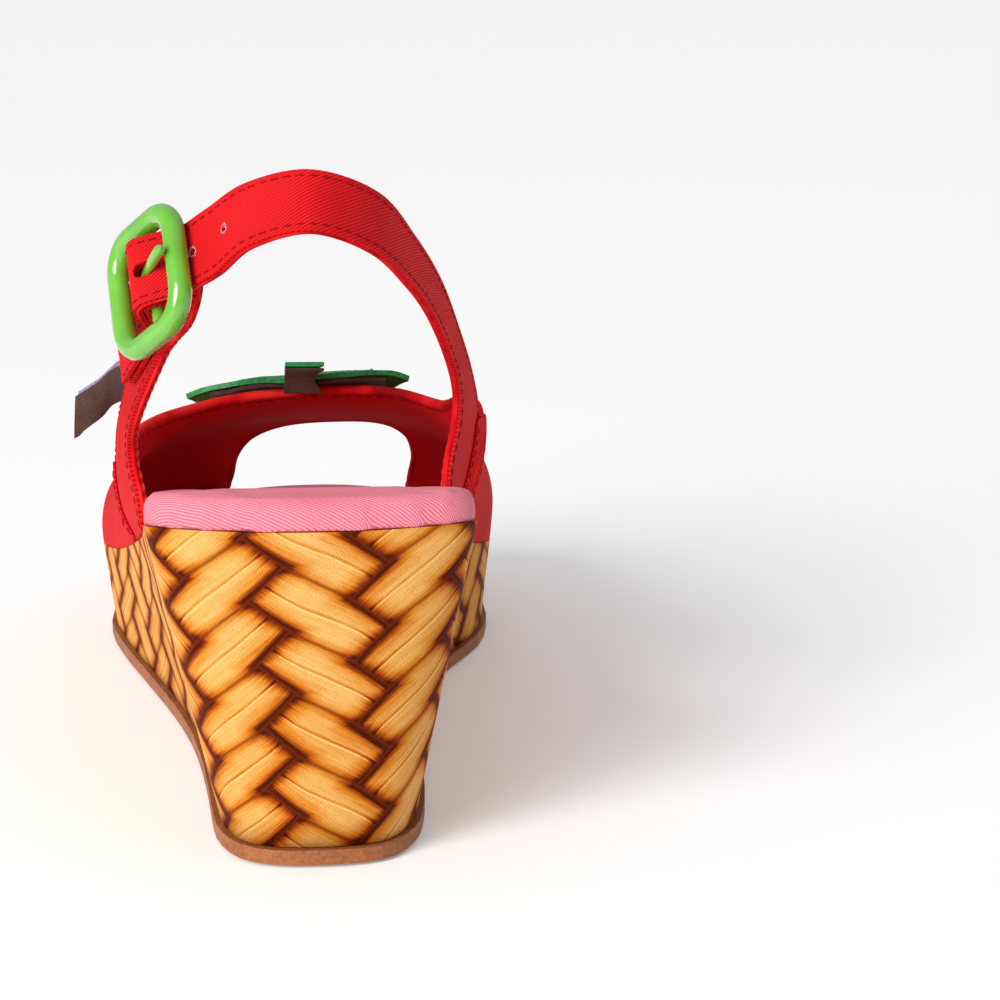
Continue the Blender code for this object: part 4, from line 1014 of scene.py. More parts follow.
def build_footbed():
    """The padded footbed: foam under pink twill, swelled as a cushion."""
    base = inset(FEATHER_OUTLINE, upper_ledge() + PAD_SHRINK)
    rings = [raise_outline(base, lambda x, y: seat_height(x, y) + GAP)]
    for angle in (0.0, 22.5, 45.0, 67.5, 90.0):
        turn = math.radians(angle)
        drop = PAD_RADIUS * (1 - math.sin(turn)) + PAD_SHRINK
        rings.append(raise_outline(inset(base, PAD_RADIUS * (1 - math.cos(turn))),
                                   lambda x, y: footbed_top(x, y) - drop))
    # Inner rings keep the seat's slope; the last is filled across.
    for extra in (4.0, 9.0):
        rings.append(raise_outline(inset(base, PAD_RADIUS + extra),
                                   lambda x, y: footbed_top(x, y) - PAD_SHRINK))
    count = len(base)
    points = np.concatenate(rings)
    faces = ring_faces(len(rings), count)
    faces += ladder_faces(count, 0, True)
    faces += ladder_faces(count, (len(rings) - 1) * count, False)
    pad = make_piece("footbed_pad", points, faces, "pink")
    remesh = pad.modifiers.new("remesh", "REMESH")
    remesh.mode = "VOXEL"
    remesh.voxel_size = PAD_VOXEL * MM
    bake(pad)
    cushion(pad, lambda co: co[2] / MM < seat_height(co[0] / MM, co[1] / MM) + PAD_HELD,
            PAD_PRESSURE, PAD_SWELL * MM)
    tuck_hem(pad, base)
    subdivide = pad.modifiers.new("smooth", "SUBSURF")
    subdivide.levels = subdivide.render_levels = 1
    mesh = bake(pad)
    mesh.shade_smooth()
    if not mesh.materials:
        mesh.materials.append(MATERIALS["pink"])
    lay_out_pad_cloth(mesh)
    settle(pad, "sandal", "pink_cloth", "footbed_cover", "footbed_foam")


def lay_out_pad_cloth(mesh):
    """Lay the twill flat over the pad's top and fold it down round its sides."""
    co = np.empty(len(mesh.vertices) * 3)
    mesh.vertices.foreach_get("co", co)
    co = co.reshape(-1, 3) / MM
    normals = np.array([v.normal[:] for v in mesh.vertices])
    top = np.array([footbed_top(x, y) for x, y in co[:, :2]])
    drop = np.maximum(top - co[:, 2], 0.0)[:, None]
    flat = normals[:, :2] / np.maximum(np.linalg.norm(normals[:, :2], axis=1, keepdims=True), 0.2)
    set_uvs(mesh, co[:, :2] + flat * drop)


# ------------------------------------------------------------ the upper
RIDGE_HEIGHT = ((60, 96.0), (80, 84.0), (95, 73.6), (108, 67.2), (130, 58.8), (150, 53.1),
                (160, 49.9), (170, 44.6), (180, 37.4), (190, 28.5))
RIDGE_X = ((60, 9.0), (110, 7.0), (165, 3.5), (200, 1.0))
LATERAL_POWERS = (2.4, 2.5)
MEDIAL_POWERS = (2.7, 3.0)
LATERAL_FLARE = ((60, 7.5), (75, 5.6), (90, 3.2), (105, 1.8), (130, 1.3), (200, 1.0))
MEDIAL_FLARE = ((60, 10.0), (66, 9.3), (75, 7.5), (90, 4.0), (105, 2.0), (130, 1.3), (200, 1.0))
THROAT = ((0.0, 74.0), (0.08, 76.0), (0.14, 79.5), (0.22, 90.0), (0.3, 99.5),
          (0.4, 106.5), (0.5, 108.0), (0.6, 107.0), (0.7, 101.0), (0.76, 91.0),
          (0.8, 79.0), (0.84, 69.5), (0.9, 69.0), (1.0, 67.8))
TOE_EDGE = ((0.0, 190.5), (0.1, 190.5), (0.2, 189.0), (0.28, 184.5), (0.34, 177.0),
            (0.4, 168.0), (0.45, 163.0), (0.52, 160.5), (0.6, 162.0), (0.66, 167.5),
            (0.72, 176.0), (0.78, 184.0), (0.86, 188.5), (1.0, 190.0))
QUARTER_LOW = (
    ((-34.1, 36.0, 52.6), (-35.9, 54.0, 47.3), (-37.6, 72.4, 41.6)),
    ((-35.4, 38.0, 60.5), (-38.6, 56.0, 54.5), (-41.3, 73.6, 49.5)),
    ((-36.6, 37.5, 68.5), (-40.2, 55.0, 63.5), (-42.2, 75.2, 59.5)),
    ((-35.5, 32.5, 77.0), (-39.0, 47.5, 74.5), (-39.9, 62.0, 73.0)),
)
QUARTER_HIGH = (
    ((16.0, -8.2, -12.2), (26.0, -4.0, -15.8), (37.0, 1.5, -19.0)),
    ((9.0, -7.6, -10.8), (18.0, -4.2, -13.4), (28.0, -1.0, -16.6)),
    ((-2.5, -8.4, -8.0), (7.5, -5.2, -10.4), (18.5, -1.0, -13.8)),
    ((-8.5, -3.4, -7.1), (2.0, -0.8, -8.8), (14.0, 2.4, -12.3)),
    ((-6.5, 3.2, -7.1), (2.0, 4.6, -8.8), (10.0, 5.2, -11.0)),
)
STRAP_MEDIAL = (
    ((28.1, 40.0, 51.4), (28.8, 65.8, 44.0)),
    ((28.4, 42.0, 63.5), (33.8, 67.4, 58.4)),
    ((30.4, 44.5, 73.0), (35.6, 66.0, 71.0)),
    ((30.6, 42.5, 80.5), (34.0, 58.0, 81.5)),
    ((28.6, 34.5, 89.5), (30.9, 46.5, 92.6)),
    ((24.6, 21.5, 100.3), (26.4, 31.5, 106.0)),
    ((19.9, 8.5, 108.8), (20.6, 16.6, 117.4)),
    ((12.6, -4.5, 117.5), (13.2, 2.2, 128.0)),
    ((1.0, -12.2, 122.6), (1.0, -5.0, 133.2)),
    ((-10.6, -8.6, 119.4), (-10.9, -0.8, 130.4)),
)
ROUND_STEPS = 10                # strap rows per station round the heel
BUCKLE_STEPS = 6                # strap rows per station in the buckle
STRAP_COLUMNS = 16
STRAP_SHELL = 0.9
STRAP_LINING = 0.7
STRAP_TOTAL = STRAP_LINING + GAP + STRAP_SHELL
FAR_BAR_ROOM = 1.1
SLOT_HALF_LENGTH = 1.2
SLOT_HALF_WIDTH = 1.45
CAD_BUCKLE_STEPS = 2            # the CAD's strap rows per station in the buckle
PUNCHED_HOLES = (-10, -7, 2)    # the CAD's strap rows, from the centre bar
HOLE_RADIUS = 0.85
STRAP_BINDING = 0.36            # radius of the cord-like binding on the strap's edges
QUARTER_BINDING = 0.42          # the same on the quarter's rear edge
QUARTER_STEPS = (8, 14)         # grid rows and columns per stretch of the quarter's net
VAMP_CROWDING = 0.055           # how far the vamp's rows crowd towards its two sides


def vamp_point(y, share):
    """The inner face of the vamp at a distance y and a share of the way over."""
    floor = feather_height(y) + GAP
    ridge_x = smooth_value(RIDGE_X, y)
    height = max(smooth_value(RIDGE_HEIGHT, y) - floor, 2.0)
    angle = math.pi * share
    powers = LATERAL_POWERS if share < 0.5 else MEDIAL_POWERS
    side = -1 if share < 0.5 else 1
    foot = outline_x(side, y) - side * UPPER_TOTAL
    across = abs(math.cos(angle)) ** (2 / powers[0])
    up = abs(math.sin(angle)) ** (2 / powers[1])
    flare = smooth_value(LATERAL_FLARE if side < 0 else MEDIAL_FLARE, y)
    flare *= math.sin(math.pi / 2 * min(up / 0.6, 1.0)) * (1.0 - blend(up, 0.7, 1.0))
    x = ridge_x + (foot - ridge_x) * across + side * flare
    return np.array((x, y, floor + height * up))


def vamp_grid(rows, columns):
    """Rows run over the foot, columns from the throat to the toe opening."""
    grid = np.zeros((rows + 1, columns + 1, 3))
    for i in range(rows + 1):
        even = i / rows
        share = even - VAMP_CROWDING * math.sin(2 * math.pi * even)
        start = smooth_value(THROAT, share)
        end = smooth_value(TOE_EDGE, share)
        for j in range(columns + 1):
            grid[i, j] = vamp_point(start + (end - start) * j / columns, share)
    return grid


VAMP_ROWS = 110
VAMP_COLUMNS = 44
HEM_STITCHES = 1.7              # distance of a stitched row from the cloth's edge
SOFTNESS = 0.22                 # height of the vamp cloth's slow waves


def build_vamp():
    """The vamp's cloth and lining, with stitching and piping round both openings."""
    grid = vamp_grid(VAMP_ROWS, VAMP_COLUMNS)
    normals = grid_normals_facing(grid, VAMP_ROWS // 2, 0, 2, 1)
    level(normals, [0, -1])
    soft = np.zeros(grid.shape[:2])
    for i in range(grid.shape[0]):
        for j in range(grid.shape[1]):
            x, y, z = grid[i, j]
            rise = z - feather_height(y)
            soft[i, j] = SOFTNESS * math.sin(x * 0.11 + y * 0.07) * blend(rise, 3.0, 12.0)
    sheet_piece("vamp_cloth", (grid, normals, LINING + GAP, UPPER_TOTAL), "vamp", "red_cloth",
                ["vamp_upper"], 0.3, puff=soft)
    sheet_piece("vamp_lining_cloth", (grid, normals, 0.0, LINING), "lining", "red_lining",
                ["vamp_lining"], 0.25)
    for name, height, distance, throat, first, last in (
            ("throat_stitches_1", UPPER_TOTAL, HEM_STITCHES, True, 12, 98),
            ("throat_stitches_2", UPPER_TOTAL, 2 * HEM_STITCHES, True, 12, 98),
            ("toe_opening_stitches_1", UPPER_TOTAL, HEM_STITCHES, False, 16, 96),
            ("throat_lining_stitches", 0.0, HEM_STITCHES, True, 12, 98)):
        path, up = offset_line(grid, normals, height, distance, throat, first, last)
        stitches(name, path, up if height else -up, "dark_thread")
    # A rolled edge closes the cloth and the lining round the throat and the toe.
    middle = grid + normals * UPPER_TOTAL / 2
    for name, column, first, last in (("throat_piping", 0, 8, 103),
                                      ("toe_piping", VAMP_COLUMNS, 0, VAMP_ROWS)):
        rod_piece(name, middle[first:last + 1, column], UPPER_TOTAL / 2 + 0.12, 10, "edge")
    return grid, normals


def build_quarter():
    """The lateral quarter's cloth and lining, with edge stitching and a binding."""
    high_rows = [[buckle_point(*p) for p in row] for row in QUARTER_HIGH]
    grid = net([*map(np.array, QUARTER_LOW), *map(np.array, high_rows)], *QUARTER_STEPS)
    normals = grid_normals_facing(grid, 16, 14, 0, -1)
    level(normals, [0])
    sheet_piece("quarter_cloth", (grid, normals, LINING + GAP, UPPER_TOTAL), "red", "red_cloth",
                ["lateral_quarter"], 0.3)
    sheet_piece("quarter_lining_cloth", (grid, normals, 0.0, LINING), "edge", "red_lining",
                ["lateral_quarter_lining"], 0.25)
    for name, height, distance, rear, mat in (
            ("quarter_rear_stitches", UPPER_TOTAL, 2.3, True, "dark_thread"),
            ("quarter_front_stitches", UPPER_TOTAL, 2.3, False, "dark_thread"),
            ("quarter_edge_stitches", 0.0, 0.8, True, "pale_thread")):
        path, up = offset_line(grid, normals, height, distance, rear)
        stitches(name, path, up if height else -up, mat)
    # Binding that shows as a thin orange-red line along the rear edge.
    rear = grid[:, 0] + normals[:, 0] * (LINING + GAP / 2)
    rod_piece("quarter_binding", rear, QUARTER_BINDING, 8, "edge")
    return grid, normals


def weave_route():
    """The strap's way through the buckle: under, over and under its three bars."""
    half = STRAP_TOTAL / 2
    over = CENTRE_BAR + GAP + CHAPE_THICKNESS + GAP + half
    route = [(-18.0, -4.6, 7.0)]
    bends = []
    for side, room in ((-1, GAP), (1, FAR_BAR_ROOM)):
        under = BUCKLE_BAR + room + half
        apart = math.hypot(BUCKLE_HALF_WIDTH, CENTRE_BAR_OUT)
        slope = math.asin((under + over) / apart) - math.atan2(-CENTRE_BAR_OUT, BUCKLE_HALF_WIDTH)
        bends.append((
            (side * BUCKLE_HALF_WIDTH, -under, 6.8),
            (side * (BUCKLE_HALF_WIDTH - under * math.sin(slope)), -under * math.cos(slope), 6.9),
            (side * over * math.sin(slope), CENTRE_BAR_OUT + over * math.cos(slope), 7.1)))
    route += bends[0]
    route.append((0.0, CENTRE_BAR_OUT + over, 7.2))
    route += reversed(bends[1])
    last = route[-1]
    return route + [(last[0] + 7.0, last[1] - 1.6, 6.5), (last[0] + 15.0, last[1] - 3.9, 4.4)]


def strap_grid():
    """The strap's middle surface, finer than the CAD's."""
    lower = [low for low, _ in STRAP_MEDIAL]
    upper = [high for _, high in STRAP_MEDIAL]
    counts = [ROUND_STEPS] * len(STRAP_MEDIAL)
    for along, out, half in weave_route():
        lower.append(buckle_point(along, STRAP_UP - half, out))
        upper.append(buckle_point(along, STRAP_UP + half, out))
        counts.append(BUCKLE_STEPS)
    return between(spline(lower, counts[:-1]), spline(upper, counts[:-1]), STRAP_COLUMNS + 1)


def build_strap():
    """The ankle strap: cloth, lining, holes with frayed rims and edge stitching."""
    grid = strap_grid()
    middle = STRAP_COLUMNS // 2
    normals = grid_normals_facing(grid, ROUND_STEPS * 8, middle, 1, -1)
    level(normals, [0])
    centre_row = ROUND_STEPS * len(STRAP_MEDIAL) + BUCKLE_STEPS * 4
    finer = BUCKLE_STEPS // CAD_BUCKLE_STEPS
    half = STRAP_TOTAL / 2
    slot_row = centre_row - 2 * finer
    slot_spot, slot_up = grid_at(grid, slot_row, middle), unit(grid_at(normals, slot_row, middle))
    slot_along = unit(grid[slot_row + 1, middle] - grid[slot_row - 1, middle])
    hole_spots = []
    for place in PUNCHED_HOLES:
        row = centre_row + (place + 0.5) * finer
        hole_spots.append((grid_at(grid, row, middle), unit(grid_at(normals, row, middle))))
    cutters = [slot_cutter(slot_spot, slot_up, slot_along)]
    cutters += [loft(tube([spot - 3 * up, spot + 3 * up], HOLE_RADIUS, 14))
                for spot, up in hole_spots]
    for name, low, high, mat, slot_name, node in (
            ("strap_cloth", STRAP_LINING + GAP - half, half, "red", "red_cloth", "ankle_strap"),
            ("strap_lining_cloth", -half, STRAP_LINING - half, "lining", "red_lining",
             "ankle_strap_lining")):
        points, faces, uvs = cloth_sheet(grid, normals, low, high)
        piece = make_piece(name, points, faces, mat, uvs)
        punch_through(piece, cutters, mat)
        bevel = piece.modifiers.new("rolled_edges", "BEVEL")
        bevel.width = 0.25 * MM
        bevel.segments = 2
        bevel.limit_method = "ANGLE"
        bevel.angle_limit = math.radians(60.0)
        settle(piece, "sandal", slot_name, node)

    for name, height, distance, from_low, mat in (
            ("strap_lower_stitches", half, 1.3, True, "dark_thread"),
            ("strap_upper_stitches", half, 1.3, False, "dark_thread"),
            ("strap_inner_upper_stitches", -half, 1.2, False, "dark_thread"),
            ("strap_inner_lower_stitches", -half, 1.2, True, "pale_thread")):
        path, up = offset_line(grid, normals, height, distance, from_low)
        stitches(name, path, up if height > 0 else -up, mat)
    # Bindings round both long edges cover the cut cloth.
    for name, column in (("strap_lower_binding", 0), ("strap_upper_binding", STRAP_COLUMNS)):
        edge = grid[:, column] + normals[:, column] * (STRAP_LINING + GAP / 2 - half)
        rod_piece(name, edge, STRAP_BINDING, 8, "edge")
    for number, (spot, up) in enumerate(hole_spots, start=1):
        fray(f"frayed_rim_{number}", spot + up * half, up, 0.95)
    return grid, normals


def punch_through(piece, cutters, mat):
    """Cut each of some closed shapes, given as points and faces, out of a piece."""
    punches = [make_piece(f"{piece.name}_punch_{number}", *cutter, mat)
               for number, cutter in enumerate(cutters)]
    for punch in punches:
        cut = piece.modifiers.new("punched", "BOOLEAN")
        cut.operation = "DIFFERENCE"
        cut.solver = "EXACT"
        cut.object = punch
    bake(piece)
    for punch in punches:
        bpy.data.objects.remove(punch, do_unlink=True)


def slot_cutter(spot, up, along):
    """A round-ended prism that cuts the prong's hole through the strap."""
    side = np.cross(up, along)
    ring = []
    for end, start in ((1, -90.0), (-1, 90.0)):
        for angle in np.arange(start, start + 181.0, 22.5):
            turn = math.radians(angle)
            ring.append(end * SLOT_HALF_LENGTH * along
                        + SLOT_HALF_WIDTH * (math.cos(turn) * along + math.sin(turn) * side))
    ring = np.array(ring)
    return loft([spot - 4 * up + ring, spot + 4 * up + ring])


THREAD_RADIUS = 0.085


def fray(name, spot, up, radius):
    """Pale broken threads standing round a punched hole."""
    side = unit(np.cross(up, (0.3, 0.5, 0.8)))
    other = np.cross(up, side)
    points, faces = [], []
    threads = int(18 * radius)
    for k in range(threads):
        turn = 2 * math.pi * (k + RNG.uniform(-0.3, 0.3)) / threads
        out = math.cos(turn) * side + math.sin(turn) * other
        around = math.cos(turn + 1.57) * side + math.sin(turn + 1.57) * other
        reach = RNG.uniform(-0.35, 0.35)
        path = [spot + out * (radius - 0.1) - up * 0.25 - around * 0.25,
                spot + out * radius + up * RNG.uniform(0.05, 0.16),
                spot + out * (radius + reach) + up * RNG.uniform(0.05, 0.3) + around * 0.4]
        add_to(points, faces, tube(path, THREAD_RADIUS, 5, up))
    settle(make_piece(name, points, faces, "pale_thread"), "sandal", "red_cloth")


TAPE_THICKNESS = 0.55
TAPE_LIFT = 0.12                # clearance between a tape and the cloth below it
TAPE_REACH = (3.0, 1.6, 0.2)    # distances of the tape's columns from the cloth's edge
LATERAL_SEAM = (43.0, 59.0, 22)     # lowest and highest point of a tape, and its rows
MEDIAL_SEAM = (45.5, 70.0, 28)


def seam_tape(name, parts, heights):
    """A stitched tape that bridges two cloth edges at the same heights.

    Each part is a grid, its normals and thickness, which of its edges the tape
    follows, between which rows, and how far in from that edge.
    """
    rows = []
    ups = []
    for z in heights:
        row, up = [], []
        for grid, normals, thickness, from_start, first, last, distances in parts:
            for distance in distances:
                path, n = offset_line(grid, normals, thickness + TAPE_LIFT, distance, from_start,
                                      first, last)
                order = np.argsort(path[:, 2])
                row.append([np.interp(z, path[order, 2], path[order, k]) for k in range(3)])
                up.append([np.interp(z, path[order, 2], n[order, k]) for k in range(3)])
        rows.append(row)
        ups.append(up)
    grid = np.array(rows)
    normals = units(np.array(ups))
    sheet_piece(name, (grid, normals, 0.0, TAPE_THICKNESS), "red", "red_cloth", bevel=0.18)
    for side, column in (("rear", 0.45), ("front", grid.shape[1] - 1.45)):
        path, up = grid_line(grid, normals, TAPE_THICKNESS, col=column)
        stitches(f"{name}_{side}_stitches", path, up, "dark_thread")


def build_seams(vamp, quarter, strap):
    """The tapes that join the vamp to the quarter and to the strap's medial end."""
    vamp_cloth, vamp_up = vamp
    quarter_cloth, quarter_up = quarter
    strap_cloth, strap_up = strap
    seam_tape("lateral_seam_tape",
              ((quarter_cloth, quarter_up, UPPER_TOTAL, False, 0, 17, TAPE_REACH),
               (vamp_cloth, vamp_up, UPPER_TOTAL, True, 0, 18, TAPE_REACH[::-1])),
              np.linspace(*LATERAL_SEAM))
    seam_tape("medial_seam_tape",
              ((strap_cloth, strap_up, STRAP_TOTAL / 2, False, 0, 26, TAPE_REACH),
               (vamp_cloth[::-1], vamp_up[::-1], UPPER_TOTAL, True, 0, 24, TAPE_REACH[::-1])),
              np.linspace(*MEDIAL_SEAM))


# ------------------------------------------------------------ the buckle
def rounded_path(half_along, half_up, corner, steps):
    """A rectangle with round corners, each corner in a number of steps."""
    path = []
    for quarter, (sa, su) in enumerate(((1, 1), (-1, 1), (-1, -1), (1, -1))):
        for k in range(steps + 1):
            turn = math.pi / 2 * (quarter + k / steps)
            path.append((sa * (half_along - corner) + corner * math.cos(turn),
                         su * (half_up - corner) + corner * math.sin(turn)))
    return path


def build_buckle():
    """The buckle's round-cornered frame and its centre bar."""
    path = rounded_path(BUCKLE_HALF_WIDTH, BUCKLE_HALF_HEIGHT, BUCKLE_CORNER, 16)
    rod_piece("buckle_loop", [buckle_point(a, u, 0.0) for a, u in path], BUCKLE_BAR, 28,
              "enamel", "buckle", "green_enamel", ["buckle_frame"], BUCKLE_OUT, closed=True)
    reach = BUCKLE_HALF_HEIGHT - 0.5
    spots = [buckle_point(0.0, reach * t, CENTRE_BAR_OUT) for t in np.linspace(-1, 1, 14)]
    rod_piece("buckle_centre_bar", spots, CENTRE_BAR, 20, "enamel", "buckle", "green_enamel")


def mitred(line):
    """Directions square to a line, made longer at its corners to keep the thickness."""
    line = np.asarray(line, float)
    step = units(np.diff(line, axis=0))
    before = np.vstack((step[:1], step))
    after = np.vstack((step, step[-1:]))
    turned = np.stack((-(before + after)[:, 1], (before + after)[:, 0]), axis=1)
    side = np.stack((-after[:, 1], after[:, 0]), axis=1)
    return turned / np.sum(turned * side, axis=1, keepdims=True)


def round_bar(angles, radius):
    """Points (along, out) on a circle round the buckle's centre bar."""
    turns = [math.radians(a) for a in angles]
    return [(radius * math.cos(t), CENTRE_BAR_OUT + radius * math.sin(t)) for t in turns]


def build_prong():
    """The prong: a loop round the centre bar and a pin that rests on the rear bar."""
    radius = CENTRE_BAR + GAP + PRONG_LOOP
    rest = BUCKLE_BAR + GAP + PRONG_RADIUS
    rise = math.asin((rest - CENTRE_BAR_OUT - radius) / BUCKLE_HALF_WIDTH)
    leave = 90.0 - math.degrees(rise)
    line = round_bar(np.arange(leave - 240.0, leave + 1.0, 10.0), radius)
    loop_count = len(line)
    end = -BUCKLE_HALF_WIDTH - PRONG_TIP
    slope = (rest - line[-1][1]) / (-BUCKLE_HALF_WIDTH - line[-1][0])
    for along in np.linspace(line[-1][0], end, 16)[1:]:
        line.append((along, rest + slope * (along + BUCKLE_HALF_WIDTH)))
    sides = 20
    rings = []
    for k, ((along, out), (da, do)) in enumerate(zip(line, mitred(line))):
        share = np.clip((k - loop_count + 1) / 9.0, 0.0, 1.0)
        tip = np.clip((len(line) - 1 - k) / 3.0, 0.0, 1.0)
        round_end = math.sqrt(1.0 - (1.0 - tip) ** 2 * 0.94)
        thick = (PRONG_LOOP + (PRONG_RADIUS - PRONG_LOOP) * share) * round_end
        normal = da * BUCKLE_ALONG + do * BUCKLE_OUT
        turns = np.arange(sides) * 2 * math.pi / sides
        rings.append(buckle_point(along, STRAP_UP, out)
                     + thick * np.cos(turns)[:, None] * normal
                     + PRONG_RADIUS * round_end * np.sin(turns)[:, None] * BUCKLE_UP)
    points, faces = loft(np.array(rings))
    settle(make_piece("buckle_pin", points, faces, "enamel"), "prong", "green_enamel",
           "buckle_prong")


CHAPE_DROPS = ((10.4, 0.0), (16.5, 1.5), (24.0, 3.6), (33.0, 6.0))     # (along, lean inwards)


def build_chape():
    """The folded cloth strip that holds the buckle, stitched along its edges."""
    half = CHAPE_THICKNESS / 2
    outer_leg = BUCKLE_BAR + FAR_BAR_ROOM + STRAP_TOTAL + GAP + half
    inner_leg = outer_leg + CHAPE_THICKNESS + 2 * GAP
    line = [(along, -inner_leg - drop) for along, drop in reversed(CHAPE_DROPS)]
    loop_start = len(line)
    line += round_bar(np.arange(270.0, 29.0, -15.0), CENTRE_BAR + GAP + half)
    loop_end = len(line) - 1
    for angle in (-128.0, -118.0, -109.0, -99.0):
        turn = math.radians(angle)
        line.append((BUCKLE_HALF_WIDTH + outer_leg * math.cos(turn), outer_leg * math.sin(turn)))
    line += [(along, -outer_leg - drop) for along, drop in CHAPE_DROPS]
    beside = (CHAPE_SLOT, 4.4, CHAPE_HALF_WIDTH)
    ups = np.array((*(-up for up in reversed(beside)), 0.0, *beside))
    grid = np.array([[buckle_point(a, u, o) for u in ups] for a, o in line])
    normals = np.array([[da * BUCKLE_ALONG + do * BUCKLE_OUT] * len(ups)
                        for da, do in mitred(line)])

    def slot(i, j):
        return j in (2, 3) and loop_start - 1 <= i <= loop_end

    sheet_piece("chape_cloth", (grid, normals, -half, half), "red", "red_cloth",
                ["buckle_chape"], 0.2, hole=slot)
    up = units(normals)
    last = len(line) - 1
    for name, column, face in (("chape_low_stitches", 0.55, 1), ("chape_high_stitches", 5.45, 1),
                               ("chape_low_inner_stitches", 0.55, -1)):
        path, n = grid_line(grid, up, -half * face, col=column)
        stitches(name, path, -n * face, "dark_thread")
    # Overcast thread knots along the strip's two cut ends.
    for leg, row in (("outer", last), ("inner", 0)):
        path, n = grid_line(grid, up, 0.0, row=row)
        outward = unit(grid[row, 3] - grid[row - 1 if row else 1, 3])
        lines = path + outward * 0.05
        stitches(f"chape_{leg}_end_stitches", lines, np.tile(outward, (len(lines), 1)),
                 "red_thread", 0.9, 1.1, 0.3)


# ------------------------------------------------------------ trim
LEAF_EDGE = ((-29.8, 112.0, 67.0), (-24.2, 108.5, 69.6), (-13.1, 105.0, 71.9),
             (-7.0, 103.2, 72.2), (0.9, 103.0, 73.0), (8.9, 104.5, 73.3),
             (17.6, 108.0, 72.9), (22.0, 110.5, 71.0))
LEAF_NOTCH = 9.0                # depth of the leaf between two sepals
LEAF_TIP = 0.9
LEAF_SEPAL = 15.0               # how much further each sepal reaches
LEAF_REST = 0.4                 # clearance above the vamp
LEAF_CURL = 9.0                 # the raised rear edge meets the vamp over this length
THROAT_Y = 107.0                # the vamp's rear edge under the calyx
LEAF_FACE = 1.2
LEAF_BACKING = 0.9
LEAF_BARE = 9                   # grid columns at each tip without suede
SUEDE_SETBACK = 0.8             # how far the suede sits back from the rear edge, in rows
STEM_ROWS = (((-7.2, 100.2, 69.0), (1.6, 100.2, 69.0)), ((-6.9, 100.2, 71.6), (0.2, 100.2, 71.6)),
             ((-6.8, 99.7, 73.6), (0.9, 99.7, 73.6)), ((-6.6, 98.0, 74.8), (2.5, 98.0, 74.7)))
TAB_ROWS = (((-37.6, 48.8, 86.4), (-40.4, 61.2, 77.3)), ((-42.0, 53.5, 84.8), (-44.4, 62.5, 75.0)),
            ((-45.9, 59.0, 80.6), (-47.3, 63.5, 71.4)), ((-51.0, 65.0, 76.2), (-52.0, 66.0, 66.6)))
TAB_FACE = 1.0
TAB_BACKING = 1.0
TAB_SKIN = 0.25                 # the lilac skin between the suede and the core
LILAC_RISE = 1.0                # how much taller the lilac layers stand than the suede


def vamp_height(x, y):
    """Height of the vamp's outer face above the ground, over the forefoot."""
    floor = feather_height(y) + GAP
    ridge_x = smooth_value(RIDGE_X, y)
    side = -1 if x < ridge_x else 1
    powers = LATERAL_POWERS if side < 0 else MEDIAL_POWERS
    foot = outline_x(side, y) - side * UPPER_TOTAL
    across = min(abs((x - ridge_x) / (foot - ridge_x)), 0.999)
    sine = math.sqrt(1.0 - across ** powers[0])
    height = smooth_value(RIDGE_HEIGHT, y) - floor
    return floor + height * sine ** (2 / powers[1]) + UPPER_TOTAL


def leaf_grid(columns, rows):
    """The calyx's lower face: across from tip to tip, then out to three sepals."""
    edge = np.array(spline(LEAF_EDGE, 6))
    thickness = LEAF_BACKING + GAP + LEAF_FACE
    grid = np.zeros((columns + 1, rows + 1, 3))
    left, right = edge[0, 0], edge[-1, 0]
    for i in range(columns + 1):
        share = i / columns
        x = left + (right - left) * share
        rear = np.interp(x, edge[:, 0], edge[:, 1])
        rear_height = np.interp(x, edge[:, 0], edge[:, 2]) - thickness
        rest = vamp_height(x, max(rear, THROAT_Y)) + LEAF_REST
        raised = max(rear_height - rest, 0.0)
        sepal = abs(math.sin(3 * math.pi * share)) ** 1.3
        reach = math.sin(math.pi * share) ** 0.5 * (LEAF_NOTCH + LEAF_SEPAL * sepal)
        for j in range(rows + 1):
            y = rear + max(reach, LEAF_TIP) * j / rows
            lift = LEAF_REST + raised * (1.0 - blend(y, rear, rear + LEAF_CURL))
            grid[i, j] = (x, y, vamp_height(x, max(y, THROAT_Y)) + lift)
    return grid


def two_layers(name, nodes, grid, normals, suede, suede_normals):
    """A green leather face on a brown suede backing, each its own piece."""
    face = LEAF_BACKING + GAP
    sheet_piece(f"{name}_suede", (suede, suede_normals, 0.0, LEAF_BACKING), "suede",
                "brown_backing", nodes[:1], 0.22)
    sheet_piece(f"{name}_face", (grid, normals, face, face + LEAF_FACE), "leaf",
                "green_leather", nodes[1:], 0.3)


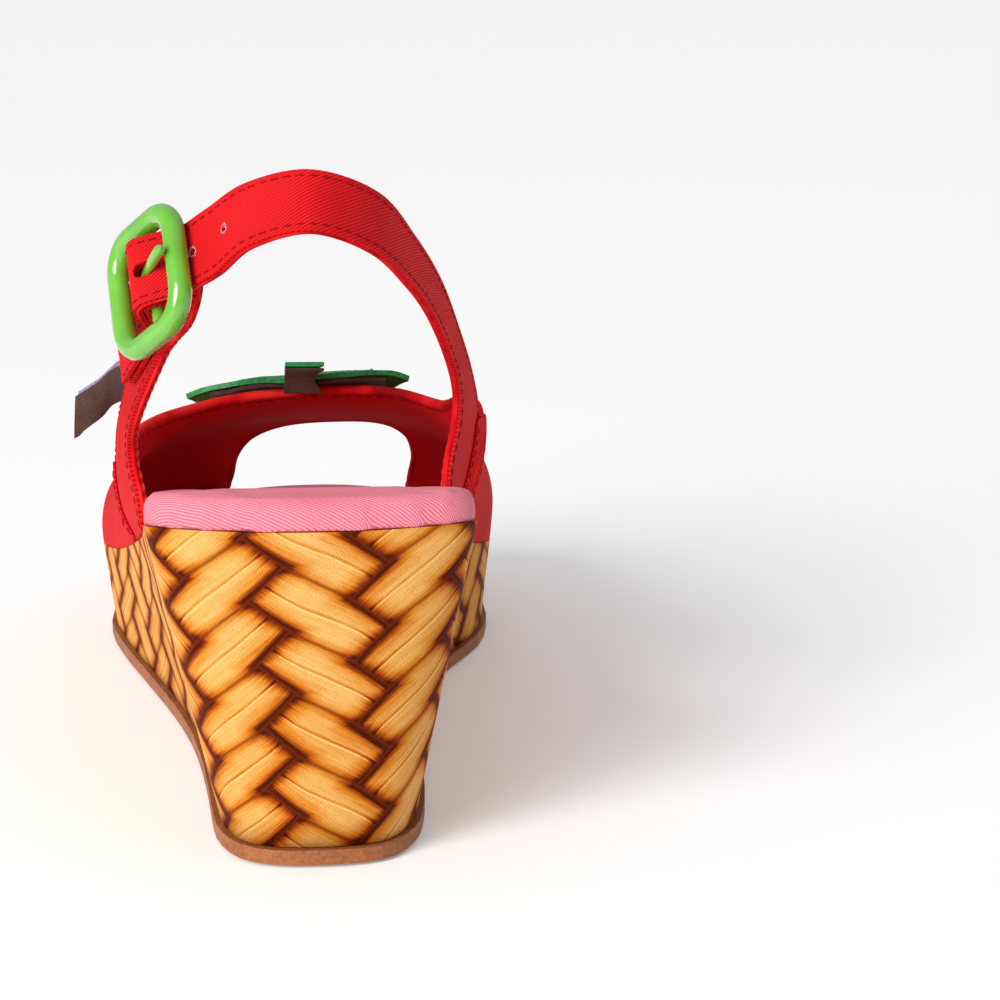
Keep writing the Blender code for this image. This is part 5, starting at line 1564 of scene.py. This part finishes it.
def build_calyx():
    """The three-sepal leaf with its suede, a raised rib on each sepal, and the stem."""
    grid = leaf_grid(90, 16)
    normals = grid_normals_facing(grid, 45, 1, 2, 1)
    suede = grid.copy()
    suede[:, 0] = grid[:, 0] + (grid[:, 1] - grid[:, 0]) * SUEDE_SETBACK
    two_layers("calyx", ["calyx_backing", "calyx_leaf"], grid, normals,
               suede[LEAF_BARE:-LEAF_BARE], normals[LEAF_BARE:-LEAF_BARE])
    top = LEAF_BACKING + GAP + LEAF_FACE
    for number, place in enumerate((15, 45, 75), start=1):
        path, up = grid_line(grid, normals, top, row=place, start=1.0, end=14.0)
        rod_piece(f"sepal_rib_{number}", path, 0.28 + 0.1 * np.linspace(1, -1, len(path)), 6,
                  "leaf", slot="green_leather", frame_up=up[0])
    grid = widened(STEM_ROWS, 8, 9)
    normals = grid_normals_facing(grid, 0, 0, 1, 1)
    two_layers("stem", ["stem_backing", "calyx_stem"], grid, normals, grid, normals)


def build_side_tab():
    """The tab on the lateral quarter: suede behind, then three lilac layers."""
    grid = widened(TAB_ROWS, 10, 11)
    normals = grid_normals_facing(grid, -1, 0, 1, -1)
    up = units(grid[:, 0] - grid[:, -1])
    shares = np.linspace(0.0, 1.0, grid.shape[1])
    tall = grid + (up * LILAC_RISE)[:, None, :] * (1.0 - shares)[None, :, None]
    for name, low, high, mat, slot, nodes in (
            ("side_tab_suede", GAP / 2 + TAB_SKIN, GAP / 2 + TAB_BACKING, "suede",
             "brown_backing", ("side_tab_backing",)),
            ("side_tab_rear_skin", GAP / 2, GAP / 2 + TAB_SKIN, "lilac", "lilac_leather", ()),
            ("side_tab_core", -GAP / 2, GAP / 2, "violet", "lilac_leather", ()),
            ("side_tab_front", -GAP / 2 - TAB_FACE, -GAP / 2, "lilac", "lilac_leather",
             ("side_tab_face",))):
        surface = grid if mat == "suede" else tall
        sheet_piece(name, (surface, normals, low, high), mat, slot, nodes, 0.1)


# ------------------------------------------------------------ CAD nodes that stay
CAD_FINISHES = {
    "outsole": "rubber", "wedge_core": "core", "insole_board": "board", "steel_shank": "steel",
    "shank_rivet_rear": "rivet", "shank_rivet_front": "rivet", "heel_nail_1": "rivet",
    "heel_nail_2": "rivet", "heel_nail_3": "rivet",
}


def finish_cad_nodes():
    """Give the CAD nodes that stay in sight their own materials."""
    for node, mat in CAD_FINISHES.items():
        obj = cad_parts[node]
        for place in obj.material_slots:
            place.material = MATERIALS[mat]


build_stage()
build_wrap()
finish_cad_nodes()
build_footbed()
vamp = build_vamp()
quarter = build_quarter()
strap = build_strap()
build_seams(vamp, quarter, strap)
build_buckle()
build_prong()
build_chape()
build_calyx()
build_side_tab()
